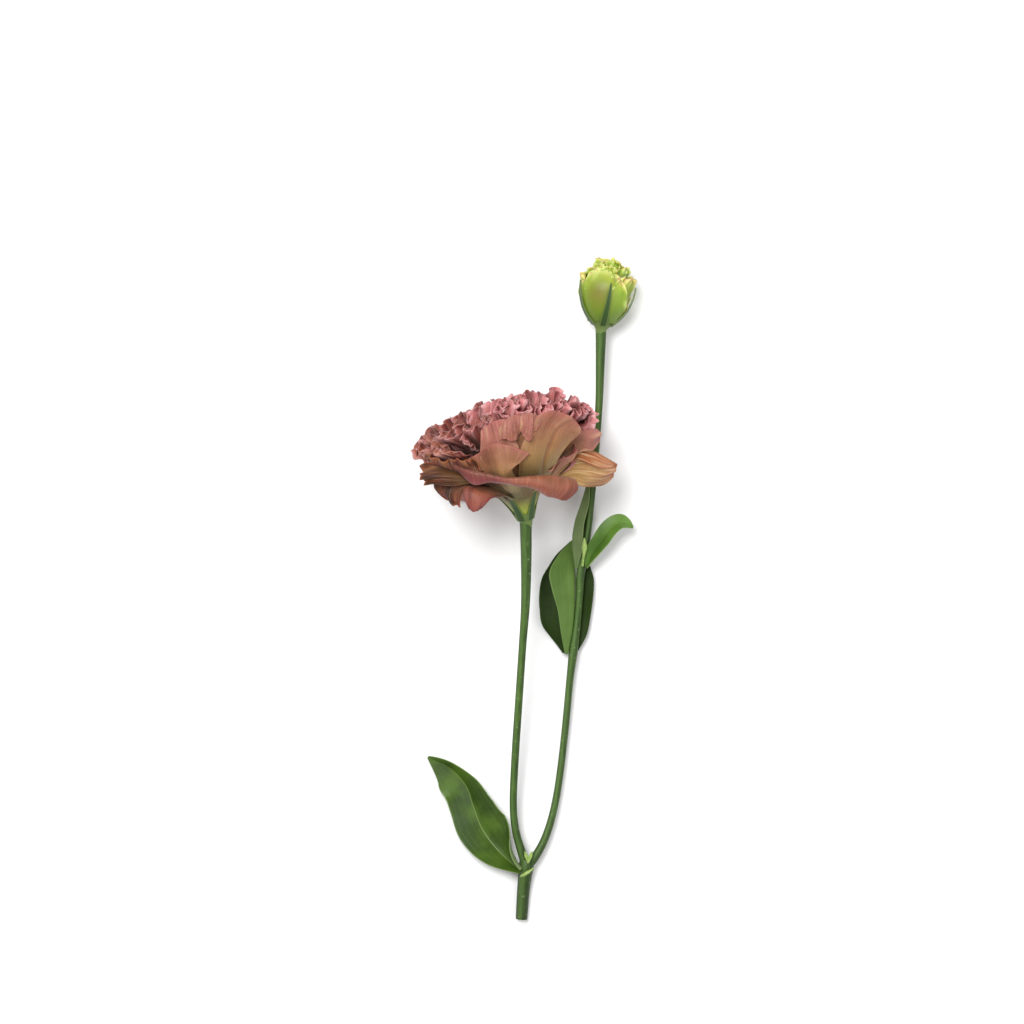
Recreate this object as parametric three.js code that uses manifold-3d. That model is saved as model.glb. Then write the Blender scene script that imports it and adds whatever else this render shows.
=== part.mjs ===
// A cut lisianthus stem lying on a flat surface: one double bloom, one opening bud, five leaves.
// Millimetres. +Z is up, +Y runs from the cut end to the flowers, and the surface is z = 0.
import * as THREE from "three";
import { mergeVertices } from "three/addons/utils/BufferGeometryUtils.js";
import Module from "manifold-3d";

const wasm = await Module();
wasm.setup();

// ---- Driving dimensions ------------------------------------------------------------------

const GAP = 0.35; // clearance between separate pieces
const STEM_SIDES = 8;
const BIG = 400; // wider than the whole stem

// Stem and stalks: [x, y, z, radius] along each centre line.
const CUT_STEM = [
  [-0.1, -132.9, 2.1, 2.3],
  [0.6, -122, 3.1, 2.5],
  [1.4, -114.5, 4.4, 2.8],
  [1.8, -111.5, 5.0, 3.1],
  [2.0, -108.6, 5.4, 2.5],
];
const BLOOM_STALK = [
  [1.8, -111.5, 5.0, 1.9],
  [-0.4, -104.5, 6.0, 1.65],
  [-2.6, -96, 7.2, 1.5],
  [-3.4, -85, 8.9, 1.45],
  [-2.6, -66, 12.2, 1.5],
  [-1.3, -46, 15.6, 1.5],
  [0.3, -22, 19.8, 1.5],
  [1.4, -6, 22.4, 1.75],
  [1.7, 10, 25.2, 2.1],
  [1.6, 22, 27.6, 2.35],
  [1.5, 26.0, 28.5, 2.5],
];
const BUD_STALK = [
  [2.2, -111.5, 5.0, 1.9],
  [5.4, -107.6, 5.2, 1.7],
  [9.0, -101, 5.0, 1.55],
  [12.2, -91.5, 4.6, 1.45],
  [14.8, -78.4, 4.2, 1.4],
  [17.3, -58, 4.2, 1.4],
  [19.4, -36, 4.8, 1.45],
  [20.8, -24.6, 5.2, 1.75],
  [22.3, -13, 5.6, 1.45],
  [23.1, -3, 6.0, 1.45],
  [23.8, 7.8, 6.4, 1.7],
  [26.2, 20, 6.8, 1.35],
  [28.4, 40, 7.6, 1.3],
  [29.9, 57.8, 8.4, 1.35],
  [31.0, 75, 9.2, 1.5],
  [31.4, 90, 9.9, 1.8],
  [31.7, 102.8, 10.8, 2.3],
];
// The scar of the stripped leaf: a low ridge round the swollen fork.
const SCAR = { at: [1.9, -113.5, 4.7], lean: 36, lift: 8, radius: 3.1, rise: 0.5, width: 1.4 };

// Bloom: its axis leans left and lifts off the surface; heights run along that axis.
const BLOOM_BASE = new THREE.Vector3(1.5, 28.4, 29);
const BLOOM_LEAN = 12; // degrees to the left of +Y
const BLOOM_LIFT = 12; // degrees above the surface

// Bud: the same two angles.
const BUD_BASE = new THREE.Vector3(31.9, 105.2, 11.0);
const BUD_LEAN = -8;
const BUD_LIFT = 0;

const COLOURS = {
  stem: 0x5b7f3c,
  leaf: 0x4f7a35,
  leafPale: 0x7c8f66,
  sepal: 0x577a37,
  petal: 0xa8706a,
  bud: 0xa9bf4c,
  scale: 0xc3cf8e,
};

// ---- Solids ------------------------------------------------------------------------------

// A closed geometry as a solid, turned the right way round if its faces point in.
function solidOf(geometry) {
  const bare = new THREE.BufferGeometry();
  bare.setAttribute("position", geometry.getAttribute("position"));
  bare.setIndex(geometry.index);
  const merged = mergeVertices(bare, 1e-4);
  const triVerts = new Uint32Array(merged.index.array);
  const vertProperties = merged.attributes.position.array;
  const solid = new wasm.Manifold(new wasm.Mesh({ numProp: 3, vertProperties, triVerts }));
  if (solid.volume() > 0) return solid;
  for (let i = 0; i < triVerts.length; i += 3) {
    [triVerts[i + 1], triVerts[i + 2]] = [triVerts[i + 2], triVerts[i + 1]];
  }
  return new wasm.Manifold(new wasm.Mesh({ numProp: 3, vertProperties, triVerts }));
}

function geometryOf(solid) {
  const mesh = solid.getMesh();
  const geometry = new THREE.BufferGeometry();
  const positions = new Float32Array(mesh.numVert * 3);
  for (let i = 0; i < mesh.numVert; i++) {
    for (let k = 0; k < 3; k++) positions[3 * i + k] = mesh.vertProperties[mesh.numProp * i + k];
  }
  geometry.setAttribute("position", new THREE.BufferAttribute(positions, 3));
  geometry.setIndex(new THREE.BufferAttribute(new Uint32Array(mesh.triVerts), 1));
  return geometry;
}

const fuse = (solids) => solids.reduce((sum, next) => sum.add(next));

// The largest body of a solid: small loose scraps are dropped, and so are sealed hollows.
function wholeOf(solid) {
  const bodies = solid.decompose();
  return bodies.reduce((best, body) => (body.volume() > best.volume() ? body : best));
}

const box = (size, centre) => solidOf(new THREE.BoxGeometry(...size).translate(...centre));

// What lies below the surface z = 0 is cut away, which leaves a small flat spot to rest on.
function restOnFloor(solid) {
  return solid.subtract(box([BIG, BIG, BIG], [0, 0, -BIG / 2]));
}

// ---- Curves and sweeps -------------------------------------------------------------------

const smooth = (t) => t * t * (3 - 2 * t);
const clamp01 = (t) => Math.min(1, Math.max(0, t));
const radians = THREE.MathUtils.degToRad;

// Values spread evenly over 0..1, read back as one smooth curve.
function spread(values) {
  const points = values.map((value, i) => new THREE.Vector2(i / (values.length - 1), value));
  const curve = new THREE.SplineCurve(points);
  return (t) => curve.getPoint(clamp01(t)).y;
}

// A round closed tube whose radius changes along its centre line of [x, y, z, radius].
function taperedTube(stations, steps, sides = STEM_SIDES) {
  const centre = new THREE.CatmullRomCurve3(stations.map(([x, y, z]) => new THREE.Vector3(x, y, z)));
  const radius = spread(stations.map((station) => station[3]));
  const up = new THREE.Vector3(0, 0, 1);
  const positions = [];
  const index = [];
  for (let j = 0; j <= steps; j++) {
    const t = j / steps;
    const point = centre.getPoint(t);
    const along = centre.getTangent(t);
    const side = new THREE.Vector3().crossVectors(along, up).normalize();
    const top = new THREE.Vector3().crossVectors(side, along);
    for (let i = 0; i < sides; i++) {
      const angle = (2 * Math.PI * (i + 0.5)) / sides;
      const ring = point.clone().addScaledVector(side, radius(t) * Math.cos(angle));
      positions.push(...ring.addScaledVector(top, radius(t) * Math.sin(angle)));
    }
  }
  for (let j = 0; j < steps; j++) {
    for (let i = 0; i < sides; i++) {
      const a = j * sides + i;
      const b = j * sides + ((i + 1) % sides);
      index.push(a, b, b + sides, a, b + sides, a + sides);
    }
  }
  for (const [end, row] of [[0, 0], [1, steps]]) {
    const hub = positions.length / 3;
    positions.push(...centre.getPoint(end));
    for (let i = 0; i < sides; i++) {
      const a = row * sides + i;
      const b = row * sides + ((i + 1) % sides);
      index.push(...(end ? [hub, a, b] : [hub, b, a]));
    }
  }
  const geometry = new THREE.BufferGeometry();
  geometry.setAttribute("position", new THREE.Float32BufferAttribute(positions, 3));
  geometry.setIndex(index);
  return solidOf(geometry);
}

// The normal of the smooth surface place(u, v).
function normalAt(place, u, v) {
  const step = 1e-3;
  const du = place(u + step, v).sub(place(u - step, v));
  const dv = place(u, v + step).sub(place(u, v - step));
  return du.cross(dv).normalize();
}

// A thin blade on the surface place(u, v), u in -1..1 and v in 0..1. lift(u, v) waves it along the
// surface's own normal. Both faces are split along the same diagonals, so they never cross.
function blade(place, lift, thick, across, along) {
  const stride = across + 1;
  const count = stride * (along + 1);
  const faces = [[], []];
  for (let j = 0; j <= along; j++) {
    for (let i = 0; i <= across; i++) {
      const u = (2 * i) / across - 1;
      const v = j / along;
      const normal = normalAt(place, u, v);
      faces.forEach((face, back) => {
        const height = lift(u, v) + (back ? -thick / 2 : thick / 2);
        face.push(...place(u, v).addScaledVector(normal, height));
      });
    }
  }
  const index = [];
  for (let j = 0; j < along; j++) {
    for (let i = 0; i < across; i++) {
      const a = j * stride + i;
      const b = a + 1;
      const c = a + stride;
      const d = c + 1;
      for (const [p, q, r] of [[a, b, d], [a, d, c]]) {
        index.push(p, q, r, p + count, r + count, q + count);
      }
    }
  }
  const rim = [];
  for (let i = 0; i < across; i++) rim.push(i);
  for (let j = 0; j < along; j++) rim.push(j * stride + across);
  for (let i = across; i > 0; i--) rim.push(along * stride + i);
  for (let j = along; j > 0; j--) rim.push(j * stride);
  rim.forEach((p, k) => {
    const q = rim[(k + 1) % rim.length];
    index.push(q, p, p + count, q, p + count, q + count);
  });
  const geometry = new THREE.BufferGeometry();
  geometry.setAttribute("position", new THREE.Float32BufferAttribute(faces.flat(), 3));
  geometry.setIndex(index);
  return solidOf(geometry);
}

// ---- Flower frame ------------------------------------------------------------------------

// A frame on a flower's axis: right, up towards the viewer, and out along the axis.
function flowerFrame(base, leanDegrees, liftDegrees) {
  const lean = radians(leanDegrees);
  const lift = radians(liftDegrees);
  const axis = new THREE.Vector3(
    -Math.sin(lean) * Math.cos(lift),
    Math.cos(lean) * Math.cos(lift),
    Math.sin(lift),
  );
  const right = new THREE.Vector3(Math.cos(lean), Math.sin(lean), 0);
  const top = new THREE.Vector3().crossVectors(right, axis);
  return { base, axis, right, top };
}

// The point of a flower at a radius, a distance sideways round it, and a height, at an azimuth
// counted from its right towards its top.
function flowerPoint(frame, azimuth, radial, sideways, height) {
  const cos = Math.cos(azimuth);
  const sin = Math.sin(azimuth);
  return frame.base
    .clone()
    .addScaledVector(frame.right, radial * cos - sideways * sin)
    .addScaledVector(frame.top, radial * sin + sideways * cos)
    .addScaledVector(frame.axis, height);
}

// A solid turned about a flower's axis from a profile of [radius, height] that starts and ends on it.
function turned(frame, profile, sides) {
  const outline = profile.map(([radius, height]) => new THREE.Vector2(radius, height));
  const geometry = new THREE.LatheGeometry(outline, sides);
  const basis = new THREE.Matrix4().makeBasis(frame.right, frame.axis, frame.top.clone().negate());
  geometry.applyMatrix4(basis.setPosition(frame.base));
  return solidOf(geometry);
}

// A petal: its [radius, height] profile away from the flower's axis, its greatest width, how much it
// cups round the axis, and the ruffle of its free edge.
function petal(frame, shape) {
  const profile = new THREE.SplineCurve(shape.profile.map(([r, h]) => new THREE.Vector2(r, h)));
  const breadth = spread(shape.breadth ?? [0.3, 0.62, 0.92, 1, 0.86]);
  const azimuth = radians(shape.azimuth);
  const place = (u, v) => {
    const reach = profile.getPoint(clamp01(v * (1 - shape.round * u * u)));
    const bend = Math.max(6, reach.x) / shape.cup;
    const angle = (u * shape.width * breadth(v)) / 2 / bend;
    const sideways = bend * Math.sin(angle);
    const radial = reach.x - bend * (1 - Math.cos(angle));
    return flowerPoint(frame, azimuth, radial, sideways, reach.y + shape.tilt * sideways * v);
  };
  const lift = (u, v) => {
    const grow = smooth(clamp01((v - 0.25) / 0.75));
    const wave = Math.sin(Math.PI * shape.waves * u + shape.phase);
    const cross = Math.sin(Math.PI * (shape.waves * 0.6 * u + 2.2 * v) + 2 * shape.phase);
    return shape.ruffle * grow * (wave + 0.35 * cross);
  };
  return blade(place, lift, shape.thick, shape.across, shape.along);
}

// A seeded draw between 0 and 1.
function dice(seed) {
  let state = seed;
  return () => {
    state = (state + 0x6d2b79f5) | 0;
    let t = Math.imul(state ^ (state >>> 15), 1 | state);
    t = (t + Math.imul(t ^ (t >>> 7), 61 | t)) ^ t;
    return ((t ^ (t >>> 14)) >>> 0) / 4294967296;
  };
}

// ---- Bloom -------------------------------------------------------------------------------

const bloomFrame = flowerFrame(BLOOM_BASE, BLOOM_LEAN, BLOOM_LIFT);

// The corolla's tube opens from the calyx into the hidden middle that the petals stand on.
const COROLLA = [
  [0, 0],
  [2.5, 0],
  [4.2, 4.5],
  [7.4, 9],
  [13, 14],
  [20.5, 20],
  [23, 27],
  [18, 34.5],
  [9, 38],
  [0, 39],
];

// Petal profiles as [radius, height] along the bloom's axis.
const DROOPING = [[6, 9], [13, 14], [22, 17.5], [30, 14], [36, 6]];
const REACHING = [[6, 9], [13, 14], [22, 18], [31, 16], [38.5, 12]];
const SPREADING = [[6, 9], [13, 14], [22, 18], [29, 17.5], [34, 14.5]];
const HANGING = [[6, 9], [13, 13], [22, 15.5], [28, 14], [32.5, 11.5]];
const LEVEL = [[6, 9], [13, 14], [22, 19], [30, 20], [35.5, 17.5]];
const CUPPED = [[9, 11], [17, 16], [26, 22], [32, 31], [33.5, 41]];
const LAID = [[10, 12], [20, 16], [31, 21.5], [35.3, 28], [36.6, 33.5], [37.5, 38]];

// The outer petals, placed one by one as they lie. Angles in degrees from the bloom's right.
const OUTER_PETALS = [
  { azimuth: 2, profile: REACHING, width: 22, cup: 0.3, ruffle: 1.2, waves: 2, phase: 0.4, tilt: -0.65 },
  { azimuth: 96, profile: LEVEL, width: 54, cup: -0.35, ruffle: 1.2, waves: 1.4, phase: 0.9, tilt: 0.3 },
  { azimuth: 124, profile: HANGING, width: 18, cup: 0.5, ruffle: 1.0, waves: 1.4, phase: 4.0 },
  { azimuth: 154, profile: SPREADING, width: 24, cup: 0.5, ruffle: 1.8, waves: 2, phase: 2.1 },
  { azimuth: 194, profile: SPREADING, width: 27, cup: 0.5, ruffle: 1.6, waves: 2, phase: 5.0 },
  { azimuth: 238, profile: DROOPING, width: 28, cup: 0.4, ruffle: 1.4, waves: 2, phase: 3.2 },
  { azimuth: 308, profile: DROOPING, width: 30, cup: 0.4, ruffle: 1.4, waves: 2, phase: 1.1 },
];
const CUP_PETALS = [
  { azimuth: 50, width: 35, cup: 0.75, ruffle: 1.3, waves: 1.6, phase: 0.2 },
  { azimuth: 96, width: 26, cup: 0.7, ruffle: 1.2, waves: 1.5, phase: 1.8, reach: 0.86 },
  { azimuth: 150, width: 27, cup: 0.7, ruffle: 2.0, waves: 2, phase: 3.1, reach: 0.7 },
  { azimuth: 205, width: 29, cup: 0.7, ruffle: 2.0, waves: 2, phase: 4.0, reach: 0.7 },
  { azimuth: 325, width: 29, cup: 0.7, ruffle: 1.8, waves: 2, phase: 0.9, reach: 0.8 },
];
// The petal that the bloom lies on, pressed flat by its weight.
const RESTING_PETAL = { azimuth: 270, profile: LAID, width: 25, cup: 0.1, ruffle: 0, waves: 0, phase: 0 };

// The ruffled crown: rings of petals from the rim inwards. The outer ring is open in front, where
// two cupped petals stand, and the whole crown reaches further to its left.
const CROWN_RINGS = [
  { count: 8, width: 24, profile: [[20, 22], [30, 31], [37.5, 38]], open: [20, 125] },
  { count: 7, width: 22, profile: [[17, 28], [25, 37], [31, 44]] },
  { count: 6, width: 19, profile: [[12, 31], [18, 40.2], [21.5, 46.8]] },
  { count: 3, width: 14, profile: [[4, 32], [7.5, 42], [9, 49]] },
];
const CROWN_RUFFLE = 2.6;
const CROWN_REACH = 1.02; // of the rings' radii, on the whole
const CROWN_SWAY = 0.05; // more of it to the left, less to the right
const CROWN_DROP = 0.9; // lower by this in front and behind, by twice this to the left
const SCATTER = { turn: 0.3, out: 0.96, rise: 0.72, tilt: 0.15, ruffle: 0.2 };
const FULL_PETAL = { across: 6, along: 4, round: 0.16, tilt: 0, thick: 0.8 };
const CROWN_PETAL = { across: 7, along: 2, round: 0.14, cup: 0.8, waves: 2.1, thick: 1.0 };

// The outer petals as drawn, then the crown's rings with a small seeded scatter.
function bloomPetalShapes() {
  const draw = dice(17);
  const about = (middle, reach) => middle + reach * (2 * draw() - 1);
  const outer = [...OUTER_PETALS, RESTING_PETAL].map((shape) => ({ ...FULL_PETAL, ...shape }));
  const foot = CUPPED[0][1];
  const cups = CUP_PETALS.map(({ reach = 1, ...shape }) => {
    const profile = CUPPED.map(([radius, height]) => [radius, foot + (height - foot) * reach]);
    return { ...FULL_PETAL, ...shape, profile };
  });
  const crown = CROWN_RINGS.flatMap(({ count, width, profile, open = [0, 0] }, level) =>
    Array.from({ length: count }, (_, k) => {
      const azimuth = (360 * (k + 0.5 * (level % 2) + about(0, SCATTER.turn / 2))) / count;
      const rightward = Math.cos(radians(azimuth));
      const reach = CROWN_REACH - CROWN_SWAY * rightward;
      const drop = CROWN_DROP * (1 - rightward);
      const lift = about(0, 1);
      const scattered = profile.map(([radius, height], i) => [
        reach * radius + SCATTER.out * lift * i,
        height - drop + SCATTER.rise * lift * i,
      ]);
      return {
        ...CROWN_PETAL,
        width,
        azimuth,
        profile: scattered,
        tilt: about(0, SCATTER.tilt),
        ruffle: CROWN_RUFFLE * about(1, SCATTER.ruffle),
        phase: 2 * Math.PI * draw(),
        breadth: [0.6, 0.92, 1],
        open,
      };
    }).filter(({ azimuth, open: [from, to] }) => azimuth < from || azimuth > to),
  );
  return [...outer, ...cups, ...crown];
}

function bloomPetals() {
  const petals = bloomPetalShapes().map((shape) => petal(bloomFrame, shape));
  return restOnFloor(fuse([turned(bloomFrame, COROLLA, 10), ...petals]));
}

// ---- Calyxes -----------------------------------------------------------------------------

const SEPAL = { across: 2, along: 6, round: 0, tilt: 0, cup: 0.8, ruffle: 0, waves: 0, phase: 0 };
const SEPAL_BREADTH = [1, 1.05, 0.8, 0.5, 0.16];
const SEPAL_THICK = 0.7;

// A profile whose end runs on by a length, in the direction it has there.
function runOn(profile, length) {
  const [before, end] = profile.slice(-2);
  const way = new THREE.Vector2(...end).sub(new THREE.Vector2(...before)).setLength(length);
  return [...profile.slice(0, -1), [end[0] + way.x, end[1] + way.y]];
}

// A calyx: a small cup under the flower, and narrow pointed sepals that run up its outside. flare
// moves each sepal's tip out. A margin makes the room that the petals leave for it, past the tips too.
function calyx(frame, { cup, outline, first, width, flare }, margin = 0) {
  const broad = width + 2 * margin;
  const sepals = flare.map((out, k) => {
    const flared = outline.map(([radius, height], i) => [radius + (out * i * i) / 16, height]);
    return petal(frame, {
      ...SEPAL,
      azimuth: first + (360 * k) / flare.length,
      profile: margin ? runOn(flared, margin) : flared,
      width: broad,
      breadth: SEPAL_BREADTH.map((part) => (width * part + 2 * margin) / broad),
      thick: SEPAL_THICK + 2 * margin,
    });
  });
  const grown = cup.map(([radius, height]) => [
    radius && radius + margin,
    height + Math.sign(height + 1) * margin,
  ]);
  return fuse([turned(frame, grown, 10), ...sepals]);
}

const BLOOM_CALYX = {
  cup: [[0, -1.65], [2.6, -1.65], [3.3, -0.9], [3.0, -0.36], [0, -0.36]],
  outline: [[2.8, -1.0], [4.6, 2.6], [6.4, 6.2], [8.8, 9.4], [11.2, 11.8]],
  first: 14,
  width: 2.6,
  flare: [-2.2, -0.8, 0.4, 0.2, 0.2],
};

// ---- Bud ---------------------------------------------------------------------------------

const budFrame = flowerFrame(BUD_BASE, BUD_LEAN, BUD_LIFT);
const BUD_BODY = [
  [0, 0],
  [2.4, 0],
  [4.9, 2.4],
  [7.4, 6.6],
  [9.3, 11.6],
  [10, 16.4],
  [9, 20.8],
  [6.8, 24.2],
  [3.4, 25.8],
  [0, 26.2],
];
const BUD_WRAP = [[4.2, 1.4], [8.0, 6.4], [10.4, 12.4], [10.9, 17.4], [8.6, 23]];
const BUD_FRILL = [[7.4, 18.4], [6.6, 23.6], [4.1, 27.4]];
const BUD_CALYX = {
  cup: [[0, -1.65], [2.4, -1.65], [3.2, -0.8], [2.9, -0.36], [0, -0.36]],
  outline: [[2.8, -0.9], [6.1, 2.4], [9.2, 6.6], [11.4, 12], [11.6, 17.2]],
  first: 5,
  width: 3.4,
  flare: [0.2, 0.2, 0.4, -0.2, -0.4],
};

function budPetals() {
  const draw = dice(5);
  const wraps = [20, 110, 200, 290].map((azimuth) => ({
    ...FULL_PETAL,
    azimuth,
    profile: BUD_WRAP,
    width: 17,
    breadth: [0.5, 0.9, 1, 1, 0.8],
    cup: 0.95,
    ruffle: 0.7,
    waves: 2,
    phase: 2 * Math.PI * draw(),
  }));
  const frills = [65, 155, 245, 335].map((azimuth) => ({
    ...CROWN_PETAL,
    azimuth,
    profile: BUD_FRILL,
    width: 10,
    breadth: [0.7, 0.9, 1],
    tilt: 0,
    ruffle: 1.2,
    phase: 2 * Math.PI * draw(),
    thick: 0.8,
  }));
  const petals = [...wraps, ...frills].map((shape) => petal(budFrame, { ...shape, across: 5 }));
  return restOnFloor(fuse([turned(budFrame, BUD_BODY, 10), ...petals]));
}

// ---- Leaves ------------------------------------------------------------------------------

const LEAF_THICK = 0.7;

// A leaf: its midrib, the half widths on each side, how far each half folds up from the flat, and
// the wave of its edges. face is the way that its upper side looks, at the base and at the tip.
// rollRight is how far the right half rolls on from its fold to its edge, in degrees.
function leaf(shape) {
  const { midrib, left, right, foldLeft, foldRight, face, wave, waves } = shape;
  const { rollRight = [0, 0], across = 6, along = 12 } = shape;
  const rib = new THREE.CatmullRomCurve3(midrib.map((point) => new THREE.Vector3(...point)));
  const halves = [spread(left), spread(right)];
  const folds = [spread(foldLeft), spread(foldRight)];
  const rolls = [() => 0, spread(rollRight)];
  const [faceBase, faceTip] = face.map((way) => new THREE.Vector3(...way).normalize());
  const place = (u, v) => {
    const t = clamp01(v);
    const half = u < 0 ? 0 : 1;
    const ahead = rib.getTangent(t);
    const side = ahead.clone().cross(faceBase.clone().lerp(faceTip, t)).normalize();
    const upper = side.clone().cross(ahead);
    const turn = radians(rolls[half](t)) * Math.abs(u) / 2;
    const fold = radians(folds[half](t)) + turn;
    const reach = Math.abs(u) * halves[half](t) * (turn === 0 ? 1 : Math.sin(turn) / turn);
    return rib
      .getPoint(t)
      .addScaledVector(side, Math.sign(u) * reach * Math.cos(fold))
      .addScaledVector(upper, reach * Math.sin(fold))
      .addScaledVector(ahead, v - t);
  };
  const lift = (u, v) => {
    const phase = u < 0 ? 0 : 1.9;
    return wave * u * u * Math.sin(2 * Math.PI * waves * v + phase) * Math.sin(Math.PI * v);
  };
  return blade(place, lift, LEAF_THICK, across, along);
}

const UP = [0, 0, 1];

const LEAVES = {
  // Keeled, on the surface, its base clasping the fork from the front, where its right half rolls over.
  leaf_fork: {
    midrib: [
      [-0.6, -113.2, 8.4],
      [-8.6, -106.2, 3.9],
      [-15.6, -97.4, 1.3],
      [-19.4, -88.0, 0.7],
      [-22.4, -79.4, 0.8],
      [-28.6, -72.4, 1.6],
      [-37.8, -67.6, 3.4],
    ],
    left: [1.6, 8.3, 10.1, 10.2, 10.2, 8.6, 0.5],
    right: [3.4, 10.6, 12.7, 10.6, 6.6, 4.2, 0.5],
    foldLeft: [30, 24, 18, 16, 14, 12, 6],
    foldRight: [12, 8, 24, 36, 48, 48, 20],
    rollRight: [170, 90, 20, 4, 0, 0, 0],
    face: [[0.1, 0.1, 1], UP],
    wave: 0.9,
    waves: 2.2,
    along: 14,
  },
  // Folded along its midrib beside the stalk: the near half shows its underside.
  leaf_middle_left: {
    midrib: [
      [18.4, -26.2, 5.2],
      [20.1, -17.6, 5.6],
      [21.0, -9, 5.7],
      [21.4, -1, 5.4],
      [21.4, 6.5, 4.4],
      [20.8, 13.5, 2.9],
      [20.4, 19.5, 1.7],
    ],
    left: [2.2, 11.6, 14.2, 14.6, 12.8, 7.6, 0.5],
    right: [1.2, 5.4, 8.4, 11.2, 12.2, 7.0, 0.5],
    foldLeft: [60, 70, 73, 74, 76, 82, 86],
    foldRight: [70, 66, 63, 62, 64, 72, 80],
    face: [[-1, 0, 0.1], [-1, 0, 0.15]],
    wave: 0.7,
    waves: 1.6,
  },
  // Its opposite leaf, folded behind the stalk.
  leaf_middle_right: {
    midrib: [
      [21.8, -24.8, 3.6],
      [22.9, -18, 3.0],
      [24.0, -10, 2.7],
      [24.8, -2, 2.7],
      [25.6, 5, 3.0],
      [26.6, 10.5, 3.3],
    ],
    left: [1, 3.4, 4.0, 4.2, 3.4, 0.5],
    right: [1, 3.6, 4.4, 4.6, 4.0, 0.5],
    foldLeft: [60, 66, 68, 68, 66, 60],
    foldRight: [64, 66, 66, 64, 62, 60],
    face: [[1, 0, -0.1], [1, 0, -0.1]],
    wave: 0.4,
    waves: 1.5,
  },
  // Folded upright round the stalk, its back to the left.
  leaf_upper_left: {
    midrib: [
      [21.6, 8.2, 6.6],
      [20.7, 14.5, 6.9],
      [20.5, 21, 7.2],
      [21.6, 27.5, 7.6],
      [23.8, 34, 8.0],
      [25.6, 40, 8.3],
      [26.6, 45, 8.6],
    ],
    left: [1, 4.2, 4.9, 4.6, 3.8, 2.2, 0.5],
    right: [1, 4.4, 5.4, 5.0, 4.0, 2.2, 0.5],
    foldLeft: [50, 52, 54, 54, 52, 46, 40],
    foldRight: [50, 56, 60, 60, 56, 46, 40],
    face: [[1, 0, 0], [1, -0.2, 0]],
    wave: 0.35,
    waves: 1.5,
    across: 4,
  },
  // Small, arching out to the right.
  leaf_upper_right: {
    midrib: [
      [26.0, 8.6, 7.0],
      [28.4, 13.8, 8.6],
      [32, 19.2, 10.2],
      [35.3, 23.9, 11.0],
      [39, 26.5, 11.0],
      [42, 26.2, 10.2],
      [44.6, 24.6, 9.0],
    ],
    left: [0.9, 3.3, 4.1, 4.2, 3.8, 2.4, 0.4],
    right: [0.9, 3.1, 3.7, 3.8, 3.4, 2.2, 0.4],
    foldLeft: [40, 34, 30, 26, 24, 20, 10],
    foldRight: [40, 30, 24, 18, 14, 12, 10],
    face: [[-0.5, 0.3, 1], [0.2, 0.6, 1]],
    wave: 0.4,
    waves: 1.4,
    across: 4,
  },
};

// ---- Small axillary pieces ---------------------------------------------------------------

// A tiny pointed bud on its short stalk, in the axil of the upper leaves: [x, y, z, radius].
const SIDE_BUD = [
  [24.3, 9.2, 8.8, 0.5],
  [24.7, 12.4, 9.9, 0.45],
  [25.0, 14.8, 10.7, 0.75],
  [25.1, 16.6, 11.0, 1.1],
  [25.1, 18.4, 11.1, 0.8],
  [25.0, 20.6, 11.2, 0.3],
];

// Two tiny scales on one foot between the stalks at the fork.
const FORK_SCALES = {
  foot: [[2.5, -109.6, 8.6, 0.5], [2.6, -108.8, 8.9, 0.7], [2.7, -108, 9.2, 0.5]],
  midribs: [
    [[2.4, -108.8, 8.9], [1.7, -106.9, 9.5], [1.2, -105, 10.1]],
    [[2.8, -108.8, 8.9], [3.5, -106.9, 9.3], [4.2, -105, 9.6]],
  ],
};

function forkScales() {
  const scales = FORK_SCALES.midribs.map((midrib) =>
    leaf({
      midrib,
      left: [0.5, 0.9, 0.3],
      right: [0.5, 0.9, 0.3],
      foldLeft: [30, 20, 10],
      foldRight: [30, 20, 10],
      face: [UP, UP],
      wave: 0,
      waves: 0,
      across: 2,
      along: 3,
    }),
  );
  return fuse([taperedTube(FORK_SCALES.foot, 2, 6), ...scales]);
}

// ---- Stem --------------------------------------------------------------------------------

// The whole stem, or the room round it that other pieces keep clear of.
function stemBody(margin = 0) {
  const grown = (stations) => stations.map(([x, y, z, radius]) => [x, y, z, radius + margin]);
  const scarFrame = flowerFrame(new THREE.Vector3(...SCAR.at), SCAR.lean, SCAR.lift);
  const ridge = [[0, -1], [SCAR.radius, -1], [SCAR.radius + SCAR.rise, 0], [SCAR.radius, 1], [0, 1]];
  return fuse([
    taperedTube(grown(CUT_STEM), 10),
    taperedTube(grown(BLOOM_STALK), 16),
    taperedTube(grown(BUD_STALK), 26),
    turned(scarFrame, ridge.map(([radius, height]) => [radius, (height * SCAR.width) / 2]), 12),
  ]);
}

// ---- Assembly ----------------------------------------------------------------------------

const flower = new THREE.Group();

function addPiece(name, solid, color, roughness = 0.6) {
  const material = new THREE.MeshStandardMaterial({ color, roughness, metalness: 0 });
  const mesh = new THREE.Mesh(geometryOf(wholeOf(solid)), material);
  mesh.name = name;
  flower.add(mesh);
}

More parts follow.
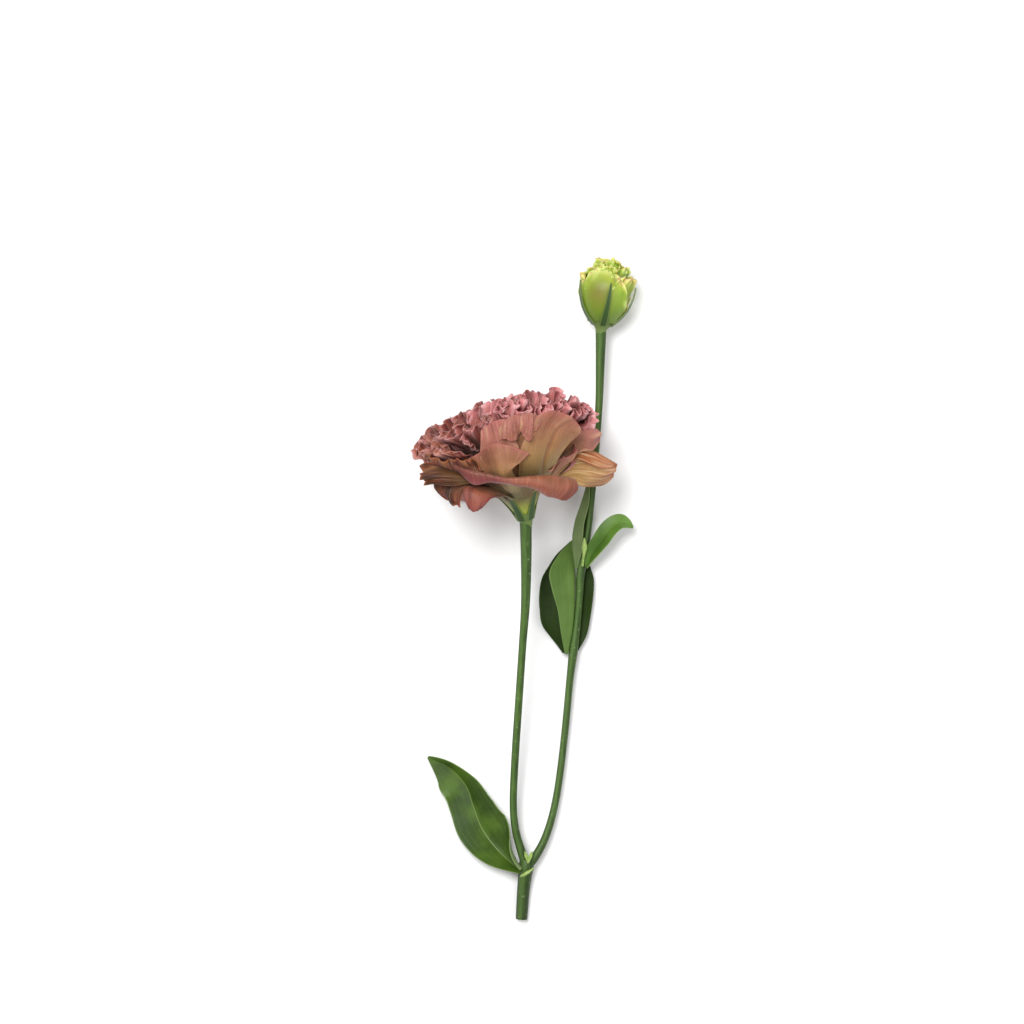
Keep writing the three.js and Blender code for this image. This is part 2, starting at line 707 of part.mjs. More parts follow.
const stemRoom = stemBody(GAP);
addPiece("stem", restOnFloor(stemBody()), COLOURS.stem);
for (const [name, shape] of Object.entries(LEAVES)) {
  const colour = name === "leaf_upper_left" ? COLOURS.leafPale : COLOURS.leaf;
  addPiece(name, restOnFloor(leaf(shape)).subtract(stemRoom), colour, 0.5);
}
addPiece("side_bud", taperedTube(SIDE_BUD, 8, 6).subtract(stemRoom), COLOURS.scale);
addPiece("fork_scales", forkScales().subtract(stemRoom), COLOURS.scale);
addPiece("bloom_calyx", calyx(bloomFrame, BLOOM_CALYX), COLOURS.sepal);
addPiece("bloom_petals", bloomPetals().subtract(calyx(bloomFrame, BLOOM_CALYX, GAP)), COLOURS.petal, 0.7);
addPiece("bud_calyx", restOnFloor(calyx(budFrame, BUD_CALYX)), COLOURS.sepal);
addPiece("bud_petals", budPetals().subtract(calyx(budFrame, BUD_CALYX, GAP)), COLOURS.bud, 0.6);

export default flower;
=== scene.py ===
# %% [markdown]
# # A cut lisianthus stem, dressed in Blender
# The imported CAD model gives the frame: where the stem, the leaves, the bloom and the bud lie on the
# surface, in metres. Each CAD piece is then replaced by a finer one of the same form: thinner
# petals with ruffled rims, leaves with veins, a ridged stem. Nothing here moves away from the frame.

# %% Load the frame
import math
import random

import bmesh
import bpy
import numpy as np
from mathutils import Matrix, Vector


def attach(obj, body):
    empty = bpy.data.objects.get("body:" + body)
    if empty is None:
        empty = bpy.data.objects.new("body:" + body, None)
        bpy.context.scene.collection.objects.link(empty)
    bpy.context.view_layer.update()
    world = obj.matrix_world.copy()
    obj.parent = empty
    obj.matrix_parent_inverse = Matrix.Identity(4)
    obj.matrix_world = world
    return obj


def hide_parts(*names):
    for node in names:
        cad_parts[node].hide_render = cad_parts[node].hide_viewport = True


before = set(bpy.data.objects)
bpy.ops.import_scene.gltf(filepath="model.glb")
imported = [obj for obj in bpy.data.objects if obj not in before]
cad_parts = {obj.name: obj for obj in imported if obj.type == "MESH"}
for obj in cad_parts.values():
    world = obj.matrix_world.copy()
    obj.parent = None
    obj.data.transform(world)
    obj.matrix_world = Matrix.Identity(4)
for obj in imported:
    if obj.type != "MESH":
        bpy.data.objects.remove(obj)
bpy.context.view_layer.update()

print("nodes:", sorted(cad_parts))

# %% [markdown]
# ## Curves and frames
# A petal, a leaf and a stem are all drawn by a few numbers along a smooth line. A Catmull-Rom curve
# passes through its points, so a number in the list is a place on the real plant. Shapes are written
# in millimetres, because petals are measured that way, and become metres when a vertex is placed.

# %% Smooth curves
MM = 0.001


def between(a, b, c, d, w):
    """The point a share w of the way from b to c, on the Catmull-Rom curve through all four."""
    return b + 0.5 * w * (c - a + w * (2 * a - 5 * b + 4 * c - d + w * (3 * (b - c) + d - a)))


def smooth_curve(points):
    """A curve through the points, read at t from 0 to 1."""
    spots = np.array(points, float)
    last = len(spots) - 1
    spots = np.vstack([spots[:1], spots, spots[-1:]])

    def at(t):
        x = np.clip(t, 0, 1) * last
        i = np.minimum(x.astype(int), last - 1)
        return between(*(spots[i + k] for k in range(4)), (x - i)[..., None])

    return at


def smooth_values(values):
    """Values spread evenly over 0 to 1, read back as one smooth line."""
    curve = smooth_curve([[value] for value in values])
    return lambda t: curve(np.asarray(t, float))[..., 0]


def ease(t):
    t = np.clip(t, 0, 1)
    return t * t * (3 - 2 * t)


def unit(vectors):
    return vectors / np.maximum(np.linalg.norm(vectors, axis=-1, keepdims=True), 1e-9)


def flower_frame(base, lean, lift):
    """A flower's base, its right, its top towards the viewer, and its axis."""
    a, b = math.radians(lean), math.radians(lift)
    axis = np.array([-math.sin(a) * math.cos(b), math.cos(a) * math.cos(b), math.sin(b)])
    right = np.array([math.cos(a), math.sin(a), 0.0])
    return np.array(base, float), right, np.cross(right, axis), axis


bloom_frame = flower_frame((1.5, 28.4, 29.0), 12, 12)
bud_frame = flower_frame((31.9, 105.2, 11.0), -8, 0)
print("bloom axis:", bloom_frame[3].round(3), "bud axis:", bud_frame[3].round(3))

# %% [markdown]
# ## One way to make every blade
# Petals, sepals and leaves are thin sheets. Each starts as a flat grid from an operator, and every
# vertex is then carried to its place on a curved surface. Ruffles are waves along the surface's own
# normal, with a little sliding along the rim, so that a fold bulges as a real ruffle does. The grid's
# own UV map goes along: x across the blade, y from root to rim, which is what the paint follows.

# %% Blades
BLADE_UV = "blade"
FLOOR_GAP, FLOOR_BEND = 0.25, 2  # a petal that reaches the surface bends and lies flat on it


def new_mesh():
    """An empty bmesh with the blade's UV map, and each vertex's tone and place in a fold."""
    mesh = bmesh.new()
    mesh.loops.layers.uv.new(BLADE_UV)
    mesh.verts.layers.float.new("tone")
    mesh.verts.layers.float.new("fold")
    return mesh


def add_blade(mesh, surface, waves, across, along, tone):
    """A grid laid on surface(u, v), u from -1 to 1 and v from 0 to 1, and waved by waves(u, v)."""
    tone_layer, fold_layer = mesh.verts.layers.float["tone"], mesh.verts.layers.float["fold"]
    made = bmesh.ops.create_grid(mesh, x_segments=across, y_segments=along, size=1, calc_uvs=True)
    flat = np.array([vertex.co for vertex in made["verts"]])
    u, v = flat[:, 0], (flat[:, 1] + 1) / 2
    step = 2e-3
    du = surface(u + step, v) - surface(u - step, v)
    dv = surface(u, v + step) - surface(u, v - step)
    out, across_rim, along_rim, fold = waves(u, v)
    spots = surface(u, v) + out[:, None] * unit(np.cross(du, dv))
    spots = spots + across_rim[:, None] * unit(du) + along_rim[:, None] * unit(dv)
    spots[:, 2] = FLOOR_GAP + np.logaddexp(0, (spots[:, 2] - FLOOR_GAP) * FLOOR_BEND) / FLOOR_BEND
    tones = tone(u, v) if callable(tone) else np.full(len(u), tone)
    for vertex, spot, value, depth in zip(made["verts"], spots * MM, tones, fold):
        vertex.co = spot
        vertex[tone_layer] = value
        vertex[fold_layer] = depth


def finish_piece(mesh, name, materials, replaced=(), thick=None, rounds=0):
    """The mesh as an object that rides on the stem's one body and stands for its CAD nodes."""
    data = bpy.data.meshes.new(name)
    mesh.to_mesh(data)
    mesh.free()
    for polygon in data.polygons:
        polygon.use_smooth = True
    piece = bpy.data.objects.new(name, data)
    bpy.context.scene.collection.objects.link(piece)
    for material in materials:
        data.materials.append(material)
    if thick:
        shell = piece.modifiers.new("thickness", "SOLIDIFY")
        shell.thickness = thick * MM
        shell.offset = 0
        shell.material_offset = len(materials) - 1
    if rounds:
        soft = piece.modifiers.new("rounding", "SUBSURF")
        soft.levels = soft.render_levels = rounds
    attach(piece, "root")
    if replaced:
        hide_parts(*replaced)
    print(f"{name}: {len(data.polygons)} faces before its modifiers")


# %% [markdown]
# ## Petal surfaces
# There are two ways to say where a petal lies. The many petals that only fill the flower are given by
# an angle round the axis and a profile of radius and height, with a width that follows a breadth line.
# The few that the eye reads one by one are given by rows of points from root to rim, each point as
# its distance to the right, towards the viewer and up the flower's axis, and a smooth sheet is drawn
# through them, as a florist would bend a wired silk petal.

# %% Petals round the axis
FULL_BREADTH = (0.3, 0.62, 0.92, 1, 0.86)
TIGHTEST_BEND = 6


def turned_petal(frame_axes, azimuth, profile, width, cup, breadth=FULL_BREADTH, tilt=0.0, rounding=0.16,
                 twist=0.0):
    base, right, top, axis = frame_axes
    path, wide = smooth_curve(profile), smooth_values(breadth)

    def surface(u, v):
        turn = np.radians(azimuth + twist * np.clip(v, 0, 1))[:, None]
        out = np.cos(turn) * right + np.sin(turn) * top
        side = -np.sin(turn) * right + np.cos(turn) * top
        reach = path(v * (1 - rounding * u * u))
        bend = np.maximum(TIGHTEST_BEND, reach[:, 0]) / cup
        angle = -u * width * wide(v) / 2 / bend
        sideways = bend * np.sin(angle)
        radial = reach[:, 0] - bend * (1 - np.cos(angle))
        height = reach[:, 1] + tilt * sideways * v
        return base + radial[:, None] * out + sideways[:, None] * side + height[:, None] * axis

    return surface


# %% Petals through rows of points
def row_petal(frame_axes, rows):
    base, right, top, axis = frame_axes
    lines = [smooth_curve(row) for row in rows]
    last = len(rows) - 1

    def surface(u, v):
        spots = [line((u + 1) / 2) for line in lines]
        spots = np.array([spots[0], *spots, spots[-1]])
        x = np.clip(v, 0, 1) * last
        i = np.minimum(x.astype(int), last - 1)
        each = np.arange(len(u))
        spot = between(*(spots[i + k, each] for k in range(4)), (x - i)[:, None])
        return base + spot @ np.array([right, top, axis])

    return surface


# %% [markdown]
# ## Ruffles
# The rim of such a petal is longer than the room it has, so it folds: a few broad folds from deep in
# the petal, smaller ones on them, and a fine frill at the very rim. Each is a wave with its own draw
# of width and place, so no two petals are alike. Sliding the sheet sideways as it bulges rounds the
# folds into loops. The depth of the fold is kept for the paint, which puts a painted highlight on
# ridges and painted shade in folds and creases.

# %% Ruffles
FOLD_SLIDE = 0.35  # how far a fold leans over, as a share of its depth
SIDE_WAVES = 7  # waves along a petal's sides, for each fold across it
# the fold value sets the painted highlight on ridges and the painted shade in folds
FULL_FOLD = 1.3  # the height, in depths, at which a ridge is palest and a fold darkest


def ruffles(draw, depth, folds, start=0.2, frill=1.0, creases=()):
    """Waves for one petal; a crease is its u at the root, its u at the rim, a depth and a spread."""
    sizes = ((1.0, 1.0, start), (1.9, 0.6, start + 0.1), (3.3, 0.42 * frill, 0.5), (5.6, 0.16 * frill, 0.7))
    parts = [
        (folds * pace * draw.uniform(0.8, 1.2), size, begin, draw.uniform(0, 6.28), draw.uniform(-2.5, 2.5))
        for pace, size, begin in sizes
    ]
    bend, shift, side_shift = draw.uniform(2, 4), draw.uniform(0, 6.28), draw.uniform(0, 6.28)

    def waves(u, v):
        edge = np.maximum(v, 0.95 * np.abs(u) * ease(v / 0.6))
        bent = u + 0.12 * np.sin(bend * u + shift)
        out, along_rim = np.zeros_like(u), np.zeros_like(u)
        for pace, size, begin, phase, drift in parts:
            wave = np.sin(math.pi * pace * bent + phase + drift * v)
            out = out + size * ease((edge - begin) / (1 - begin)) * wave
            pull = np.cos(math.pi * pace * bent + 2 * phase)
            along_rim = along_rim + FOLD_SLIDE * size * ease((v - 0.5) / 0.5) * pull
        pace, _, _, phase, drift = parts[0]
        slide = -FOLD_SLIDE * ease((edge - start) / (1 - start))
        slide = slide * np.sin(2 * (math.pi * pace * bent + phase + drift * v))
        margin = ease((np.abs(u) - 0.5) / 0.5) * ease(v / 0.5) * (1 - 0.6 * ease((v - 0.8) / 0.2))
        out = out + 0.8 * frill * margin * np.sin(SIDE_WAVES * folds * v + side_shift + 2 * np.sign(u))
        fold = out / FULL_FOLD
        out = depth * out
        for root, rim, deep, spread in creases:
            line = np.exp(-(((u - root - (rim - root) * v * v) / spread) ** 2)) * ease(v / 0.4)
            # a crease also lowers the fold value, so painted shade runs along it
            out, fold = out - deep * line, fold - 0.8 * line
        return out, depth * slide, depth * along_rim, fold

    return waves


def still(u, v):
    nothing = np.zeros_like(u)
    return nothing, nothing, nothing, nothing


# %% [markdown]
# ## Paint for petals
# Dusty rose petals are not one colour: the root is olive yellow, the middle tan, the upper part
# rose, and old petals turn rust brown from the rim. The paint reads the blade's own UV map, so
# the bands follow the petal, and fine streaks run from root to rim as the veins do. Each petal has
# a tone that moves it from pink (0) to tan and rust (1). Ridges are painted paler and folds darker:
# a painted highlight on each ridge, fainter on old petals, and painted shade in each fold and crease.

# %% Node helpers
def paint(red, green, blue):
    """A screen colour, 0 to 255, as the linear colour that the shader wants."""
    return tuple(
        (c / 255 / 12.92) if c <= 10 else ((c / 255 + 0.055) / 1.055) ** 2.4 for c in (red, green, blue)
    ) + (1.0,)


def add_node(tree, kind, inputs=None, **settings):
    node = tree.nodes.new("ShaderNode" + kind)
    for key, value in settings.items():
        setattr(node, key, value)
    for key, value in (inputs or {}).items():
        if isinstance(value, bpy.types.NodeSocket):
            tree.links.new(value, node.inputs[key])
        else:
            node.inputs[key].default_value = value
    return node


def tree_of(values):
    """The node tree of the first socket among the values."""
    return next(value.id_data for value in values if isinstance(value, bpy.types.NodeSocket))


def maths(operation, *values, clamp=False):
    node = add_node(tree_of(values), "Math", dict(enumerate(values)), operation=operation, use_clamp=clamp)
    return node.outputs[0]


def times(first, second):
    return maths("MULTIPLY", first, second)


def plus(first, second):
    return maths("ADD", first, second)


def minus(first, second):
    return maths("SUBTRACT", first, second)


def larger(first, second):
    return maths("MAXIMUM", first, second)


def mixed(factor, first, second, blend="MIX"):
    inputs = {0: factor, 6: first, 7: second}
    return add_node(tree_of(inputs.values()), "Mix", inputs, data_type="RGBA", blend_type=blend).outputs[2]


def ramp(value, stops):
    """Colours along the value; each stop is its place and its red, green and blue."""
    node = add_node(tree_of([value]), "ValToRGB", {0: value})
    elements = node.color_ramp.elements
    while len(elements) < len(stops):
        elements.new(0.5)
    for element, (place, *colour) in zip(elements, stops):
        element.position = place
        element.color = paint(*colour)
    return node.outputs[0]


def noise(vector, scale, detail=2.0, rough=0.5):
    settings = {"Vector": vector, "Scale": scale, "Detail": detail, "Roughness": rough}
    return add_node(tree_of([vector]), "TexNoise", settings).outputs[0]


def step_up(value, low, high):
    """0 below low, 1 above high, and smooth between them."""
    inputs = {"Value": value, "From Min": low, "From Max": high}
    return add_node(tree_of([value]), "MapRange", inputs, interpolation_type="SMOOTHSTEP").outputs[0]


def combined(x, y, z):
    return add_node(tree_of((x, y, z)), "CombineXYZ", {0: x, 1: y, 2: z}).outputs[0]


def attribute(tree, name):
    return add_node(tree, "Attribute", attribute_name=name, attribute_type="GEOMETRY").outputs["Fac"]


def place_on_object(tree):
    return add_node(tree, "TexCoord").outputs["Object"]


def start_material(name, **sockets):
    """A new material whose uniform numbers sit on the shader's own sockets."""
    material = bpy.data.materials.new(name)
    material.use_nodes = True
    tree = material.node_tree
    shader = tree.nodes["Principled BSDF"]
    for key, value in sockets.items():
        shader.inputs[key.replace("_", " ")].default_value = value
    return material, tree, shader


def blade_coordinates(tree):
    """Across (0 to 1), from root to rim (0 to 1), distance from the middle (0 to 1), and the tone."""
    split = add_node(tree, "SeparateXYZ", {0: add_node(tree, "UVMap", uv_map=BLADE_UV).outputs[0]})
    across, along = split.outputs[0], split.outputs[1]
    middle = times(maths("ABSOLUTE", minus(across, 0.5)), 2.0)
    tone = attribute(tree, "tone")
    return across, along, middle, tone


def coat(shader, colour, height=None, strength=0.3, depth=0.0003):
    """The colour goes on, and the height raises the surface a little."""
    tree = shader.id_data
    tree.links.new(colour, shader.inputs["Base Color"])
    if height is not None:
        bump = add_node(tree, "Bump", {"Strength": strength, "Distance": depth, "Height": height})
        tree.links.new(bump.outputs[0], shader.inputs["Normal"])


# %% Petal paint
def petal_material(name, young, old, ridge, fold_shade_and_speck, rim, rim_share=0.35, streaks=0.3, fold_shading_share=0.8,
                   roughness=0.5):
    material, tree, shader = start_material(
        name, Roughness=roughness, Specular_IOR_Level=0.3, Sheen_Weight=0.06, Subsurface_Weight=0.1,
        Subsurface_Scale=0.003)
    across, along, middle, tone = blade_coordinates(tree)
    fold, here = attribute(tree, "fold"), place_on_object(tree)
    lines = noise(combined(times(across, 40.0), times(along, 1.5), times(tone, 9.0)), 1.0, 4.0, 0.6)
    clouds = noise(here, 170.0, 3.0)
    specks = noise(here, 1100.0, 3.0, 0.6)
    drift = minus(clouds, 0.5)
    shifted = plus(along, times(drift, 0.5))
    age = maths("ADD", tone, times(drift, 1.6), clamp=True)
    body = mixed(age, ramp(shifted, young), ramp(shifted, old))
    # painted shade in folds and creases, and a painted highlight on ridges that fades on old petals
    low = times(step_up(times(fold, -1.0), 0.0, 1.0), fold_shading_share)
    fresh = minus(1.0, times(age, 0.65))
    high = times(step_up(fold, 0.1, 1.1), times(fresh, fold_shading_share * 0.9))
    body = mixed(low, body, fold_shade_and_speck)
    body = mixed(high, body, ridge)
    body = mixed(times(step_up(lines, 0.42, 0.7), streaks), body,
                 mixed(1.0, body, paint(190, 150, 135), "MULTIPLY"))
    body = mixed(times(step_up(lines, 0.5, 0.3), streaks), body, ridge)
    body = mixed(times(step_up(specks, 0.56, 0.72), 0.25), body, fold_shade_and_speck)
    edge = larger(step_up(along, 0.9, 1.0), step_up(middle, 0.9, 1.0))
    edge = times(edge, step_up(plus(along, clouds), 0.8, 1.2))
    body = mixed(times(edge, rim_share), body, rim)
    coat(shader, body, plus(lines, times(specks, 0.5)), 0.5, 0.0005)
    return material


# %% Petal colours
# In ROSE and RUST the dark red-brown low on the petal is partly the petal's own colour and partly painted
# shade deep inside the dome.
ROSE = [(0.0, 120, 100, 52), (0.3, 126, 60, 50), (0.55, 158, 86, 80), (0.8, 202, 124, 124),
        (1.0, 210, 134, 138)]
RUST = [(0.0, 110, 88, 44), (0.3, 98, 50, 32), (0.55, 114, 58, 36), (0.8, 130, 72, 48), (1.0, 144, 84, 60)]
TAN = [(0.0, 120, 106, 50), (0.35, 150, 122, 72), (0.65, 144, 104, 66), (0.85, 134, 88, 62),
       (1.0, 144, 90, 72)]
PINK_BACK = [(0.0, 120, 100, 52), (0.35, 138, 96, 66), (0.65, 156, 98, 84), (1.0, 164, 98, 94)]
ROLL_PINK = [(0.0, 96, 92, 40), (0.3, 106, 74, 44), (0.6, 114, 52, 54), (1.0, 128, 60, 66)]
ROLL_BRICK = [(0.0, 96, 90, 40), (0.3, 110, 74, 40), (0.6, 140, 82, 60), (1.0, 130, 66, 56)]
BROWN = [(0.0, 74, 60, 20), (0.4, 78, 48, 18), (0.75, 86, 46, 22), (1.0, 92, 46, 24)]
CREAM = [(0.0, 124, 98, 38), (0.3, 156, 120, 60), (0.7, 176, 142, 94), (1.0, 164, 108, 72)]
ORANGE = [(0.0, 140, 100, 50), (0.4, 156, 92, 48), (0.75, 166, 96, 52), (1.0, 158, 80, 42)]

# The second colour of each paint is a painted highlight on ridges, also used for pale streaks; the third is
# painted shade in folds, also used for specks.
crown_paint = petal_material(
    "ruffled_rose", ROSE, RUST, ridge=paint(236, 190, 192), fold_shade_and_speck=paint(84, 30, 24),
    rim=paint(206, 136, 132), rim_share=0.2)
back_paint = petal_material(
    "smooth_tan_back", PINK_BACK, TAN, ridge=paint(196, 158, 120), fold_shade_and_speck=paint(112, 62, 44),
    rim=paint(166, 92, 88), streaks=0.16, fold_shading_share=0.6)
roll_paint = petal_material(
    "rolled_rose_to_brick", ROLL_PINK, ROLL_BRICK, ridge=paint(196, 126, 112), fold_shade_and_speck=paint(84, 36, 28),
    rim=paint(104, 48, 40), rim_share=0.6, streaks=0.2, fold_shading_share=0.6, roughness=0.42)
brown_paint = petal_material(
    "rust_brown", ROLL_PINK, BROWN, ridge=paint(170, 124, 74), fold_shade_and_speck=paint(40, 20, 10),
    rim=paint(150, 84, 44), rim_share=0.7)
cream_paint = petal_material(
    "cream_face", CREAM, ORANGE, ridge=paint(222, 196, 158), fold_shade_and_speck=paint(96, 56, 34),
    rim=paint(150, 78, 40), rim_share=0.6, streaks=0.6, fold_shading_share=0.6)
print("petal paints:", [m.name for m in (crown_paint, back_paint, roll_paint, brown_paint, cream_paint)])

# %% [markdown]
# ## The crown of the bloom
# The middle of a double lisianthus is a dome of many petals, each ruffled along its free edge. One
# blade is made with its folds, and rings of them are set from the rim of the dome to its middle. The
# outer three rings are left open in front, where smooth petals stand, and the dome reaches further to
# its left. The petals there are painted browner. The small differences come from a
# seeded draw, so that every run grows the same flower.

# %% Crown of ruffled petals
CROWN_RINGS = (
    dict(count=11, width=21, rim=[(20, 22), (28, 29), (33, 33.5), (36, 36.5)], open=(2, 168)),
    dict(count=12, width=19, rim=[(18, 27), (26.5, 34), (31.5, 38), (34, 40.4)], open=(20, 124)),
    dict(count=9, width=21, rim=[(15, 28), (22.5, 36), (27.5, 41), (30, 43.2)], open=(50, 118)),
    dict(count=8, width=21, rim=[(12, 30), (19, 38), (23, 43), (24.5, 45.8)], open=(0, 0)),
    dict(count=6, width=21, rim=[(8, 31), (13, 39), (16.5, 44), (17.5, 47)], open=(0, 0)),
    dict(count=4, width=18, rim=[(3, 32), (6, 40), (8, 45), (8.5, 47.6)], open=(0, 0)),
    dict(count=3, width=10, rim=[(1, 32), (2, 40.5), (2.5, 45), (3, 47)], open=(0, 0)),
)
CROWN_BREADTH = (0.55, 0.85, 1, 1)
CROWN_SWAY, CROWN_DROP, LEFT_SAG = 0.05, 1.1, 1.3
crown_draw = random.Random(29)


def add_crown_ring(mesh, level, draw):
    ring = CROWN_RINGS[level]
    from_angle, to_angle = ring["open"]
    for k in range(ring["count"]):
        azimuth = 360 * (k + 0.5 * (level % 2) + draw.uniform(-0.25, 0.25)) / ring["count"]
        lift, flare, stretch = draw.uniform(-1, 1), draw.uniform(-0.4, 1.6), draw.uniform(0.85, 1.12)
        twist, tilt, cup = draw.uniform(-14, 14), draw.uniform(-0.28, 0.28), draw.uniform(0.55, 1.05)
        waves = ruffles(draw, draw.uniform(1.1, 1.6), draw.uniform(2.0, 3.0), 0.1, draw.uniform(0.6, 1.0))
        browner = draw.uniform(-0.2, 0.2)
        if from_angle < azimuth % 360 < to_angle:
            continue
        rightward = math.cos(math.radians(azimuth))
        reach = 1 - CROWN_SWAY * rightward
        drop = CROWN_DROP * (1 - rightward) + LEFT_SAG * max(0, -rightward) * level / 3
        profile = [(reach * r + 0.3 * flare * i * i / 3, h - drop + 0.35 * lift * i - 0.2 * flare * i * i / 3)
                   for i, (r, h) in enumerate(ring["rim"])]
        surface = turned_petal(bloom_frame, azimuth, profile, ring["width"] * stretch, cup, CROWN_BREADTH,
                               tilt, 0.12, twist)
        # the tone grows browner towards the left of the dome and on the outer rings
        tone = 0.45 - 0.75 * rightward - 0.05 * level + 1.6 * browner
        add_blade(mesh, surface, waves, 92, 24, min(1, max(0, tone)))


for part, levels in (("crown_rim", (0, 1)), ("crown_shoulder", (2, 3)), ("crown_middle", (4, 5, 6))):
    mesh = new_mesh()
    for level in levels:
        add_crown_ring(mesh, level, crown_draw)
    finish_piece(mesh, part, [crown_paint], ["bloom_petals"], thick=0.28)

# %% [markdown]
# ## The petals in front
# In front of the crown stand a few smooth petals that show their backs: a large tan one with a dark
# crease, a fan with a sharp keel, a rounded pink one behind it, a hood whose rim curls down into
# lobes, a pink one at the right and a narrow folded one below it. The eye knows these one by one, so
# they are laid through rows of points, and only lightly ruffled.

# %% Smooth petals in front
front_draw = random.Random(5)
TAN_BACK = (
    [(1, 9, 12), (3.5, 9, 12), (6, 8, 12), (8, 7, 12), (9, 6, 12)],
    [(0, 20, 19), (4.5, 20.5, 19), (9, 19.5, 19), (11.5, 18, 19), (13.5, 16, 19.5)],
    [(1.5, 29, 27), (6.5, 29, 27.3), (11.4, 27, 27), (14.6, 26, 27), (18, 24, 27)],
    [(3.5, 31.4, 34), (9, 31.6, 34), (14, 29.6, 33), (18, 28.4, 32), (22.2, 25.4, 31)],
    [(7.6, 32.2, 40), (12.4, 32.4, 40.4), (17.4, 30.6, 39), (22.4, 28.8, 37), (27, 25.4, 34)],
    [(12, 32, 45.2), (18, 31.6, 46.2), (24.2, 28.6, 42.8), (26.8, 26, 38.6), (27.8, 24.6, 35.6)],
)
KEELED_FAN = (
    [(-3, 9, 12), (-1.5, 9.5, 12), (0, 10, 12), (1.5, 9.5, 12), (3, 9, 12)],
    [(-6, 21, 18), (-4.5, 22, 18), (-3, 23, 18), (-1, 23, 18), (1, 22, 18.5)],
    [(-13, 27.4, 26.2), (-9, 29, 25.8), (-5.6, 32.4, 25), (-4, 32, 25.2), (-1.5, 31.8, 26.6)],
    [(-16.4, 27.4, 30.3), (-11, 29.6, 31), (-6.4, 33.6, 31.8), (-1.6, 33.4, 30.8), (2.3, 33, 29.2)],
    [(-18.4, 26.5, 33), (-12.8, 29.4, 35.4), (-7, 33.4, 38.4), (-0.4, 34, 36.8), (6.6, 32.8, 31.9)],
)
ROUNDED_PINK = (
    [(-6, 8, 12), (-4, 9, 12), (-2, 9, 12)],
    [(-11, 20, 20), (-6, 22, 20), (-1, 22, 20)],
    [(-12.6, 28, 31), (-5, 30, 31), (3, 30, 31)],
    [(-11.2, 29, 38.5), (-5, 31.4, 39), (2, 31, 39)],
    [(-9.8, 28.6, 43.4), (-5.5, 31, 46.4), (1.5, 30.6, 46.4)],
)
CURLED_HOOD = (
    [(0, 9, 12), (1.5, 9, 12), (3, 9, 12), (4, 8.5, 12), (5, 8, 12), (6, 7.5, 12), (7, 7, 12)],
    [(-2, 20.5, 20), (0.5, 20.5, 20), (3, 20.5, 20), (5, 20.5, 20), (7, 20, 20), (9, 19, 20), (11, 18, 20)],
    [(-3, 28, 32), (0, 28.5, 32), (3, 29, 32), (5.5, 29, 32), (8, 28.5, 32), (10, 28, 32), (12, 27, 32)],
    [(-3, 30, 41), (0, 30.4, 42), (3, 30.6, 42.5), (6, 30.6, 43), (9, 30.4, 43), (11.5, 29.6, 43),
     (13.6, 28.6, 42.6)],
    [(-1.8, 30.8, 45), (1, 31.4, 46.6), (4, 31.6, 47.2), (7, 31.6, 47.2), (10, 31.2, 46.6),
     (12.4, 30.4, 45.6), (14, 29.4, 44.6)],
    [(-2.8, 32.6, 43), (0.2, 33, 43.8), (3.4, 33, 44.2), (6.6, 33.4, 43.4), (9.2, 33.4, 42.8),
     (11.4, 32.6, 42.6), (13, 31.4, 42.8)],
    [(-3.6, 33, 39.2), (-0.8, 33.4, 38.8), (2.4, 33.2, 38.4), (4.6, 33.4, 40.4), (7.4, 34.4, 37.2),
     (9.8, 34, 38.8), (10.8, 33, 40.6)],
)
PINK_LAPPET = (
    [(6, 5, 13), (6, 4, 12), (6, 3, 11)],
    [(15, 10, 22), (16, 9, 20), (17, 7, 18)],
    [(24.4, 14.4, 31.2), (25.4, 14, 27.6), (26.4, 12, 24.4)],
    [(30.4, 12.4, 32.2), (31.4, 12.8, 27.8), (31, 10.6, 23.6)],
    [(34.6, 8.8, 31), (35.6, 8.8, 28.4), (34.6, 8, 26)],
)
NARROW_FOLDED = (
    [(4, 8, 11), (5, 7, 11), (6, 6, 11)],
    [(8, 17, 17.5), (12, 15, 17.5), (15, 12, 17)],
    [(8.4, 21.4, 21.8), (15, 20, 23.4), (20, 18, 24.6), (25.6, 14.4, 26.6)],
)


def add_row_petals(name, material, thick, petals, draw):
    """One piece of petals; waves holds the depth, folds, start, frill and creases of a petal's ruffles."""
    mesh = new_mesh()
    for petal in petals:
        surface, waves = row_petal(bloom_frame, petal["rows"]), ruffles(draw, *petal["waves"])
        add_blade(mesh, surface, waves, *petal["grid"], petal["tone"])
    finish_piece(mesh, name, [material], ["bloom_petals"], thick)


FRONT_GRID = (72, 56)
FRONT_PETALS = (
    # The creases lower the fold value, so they are painted as shade: along each crease, and with the keeled
    # fan's wide crease over its whole left panel.
    dict(rows=TAN_BACK, grid=FRONT_GRID, waves=(0.3, 1.3, 0.5, 0.8, [(0.0, 0.35, 0.5, 0.12)]), tone=1.0),
    dict(rows=KEELED_FAN, grid=FRONT_GRID, waves=(0.25, 1.1, 0.5, 0.8, [(-0.75, -0.7, 0.3, 0.38)]), tone=0.9),
    dict(rows=ROUNDED_PINK, grid=FRONT_GRID, waves=(0.5, 1.2, 0.5, 0.8, [(0.3, 0.5, 0.8, 0.12)]), tone=0.15),
    dict(rows=CURLED_HOOD, grid=FRONT_GRID, waves=(0.9, 2.8, 0.5, 0.8),
         tone=lambda u, v: ease((v - 0.8) / 0.2)),
    dict(rows=PINK_LAPPET, grid=FRONT_GRID, waves=(0.4, 1.0, 0.5, 0.8), tone=0.0),
    dict(rows=NARROW_FOLDED, grid=FRONT_GRID, waves=(1.3, 2.2, 0.5, 0.8, [(0.1, 0.2, 1.0, 0.15)]), tone=0.6),
)
add_row_petals("petals_in_front", back_paint, 0.4, FRONT_PETALS, front_draw)

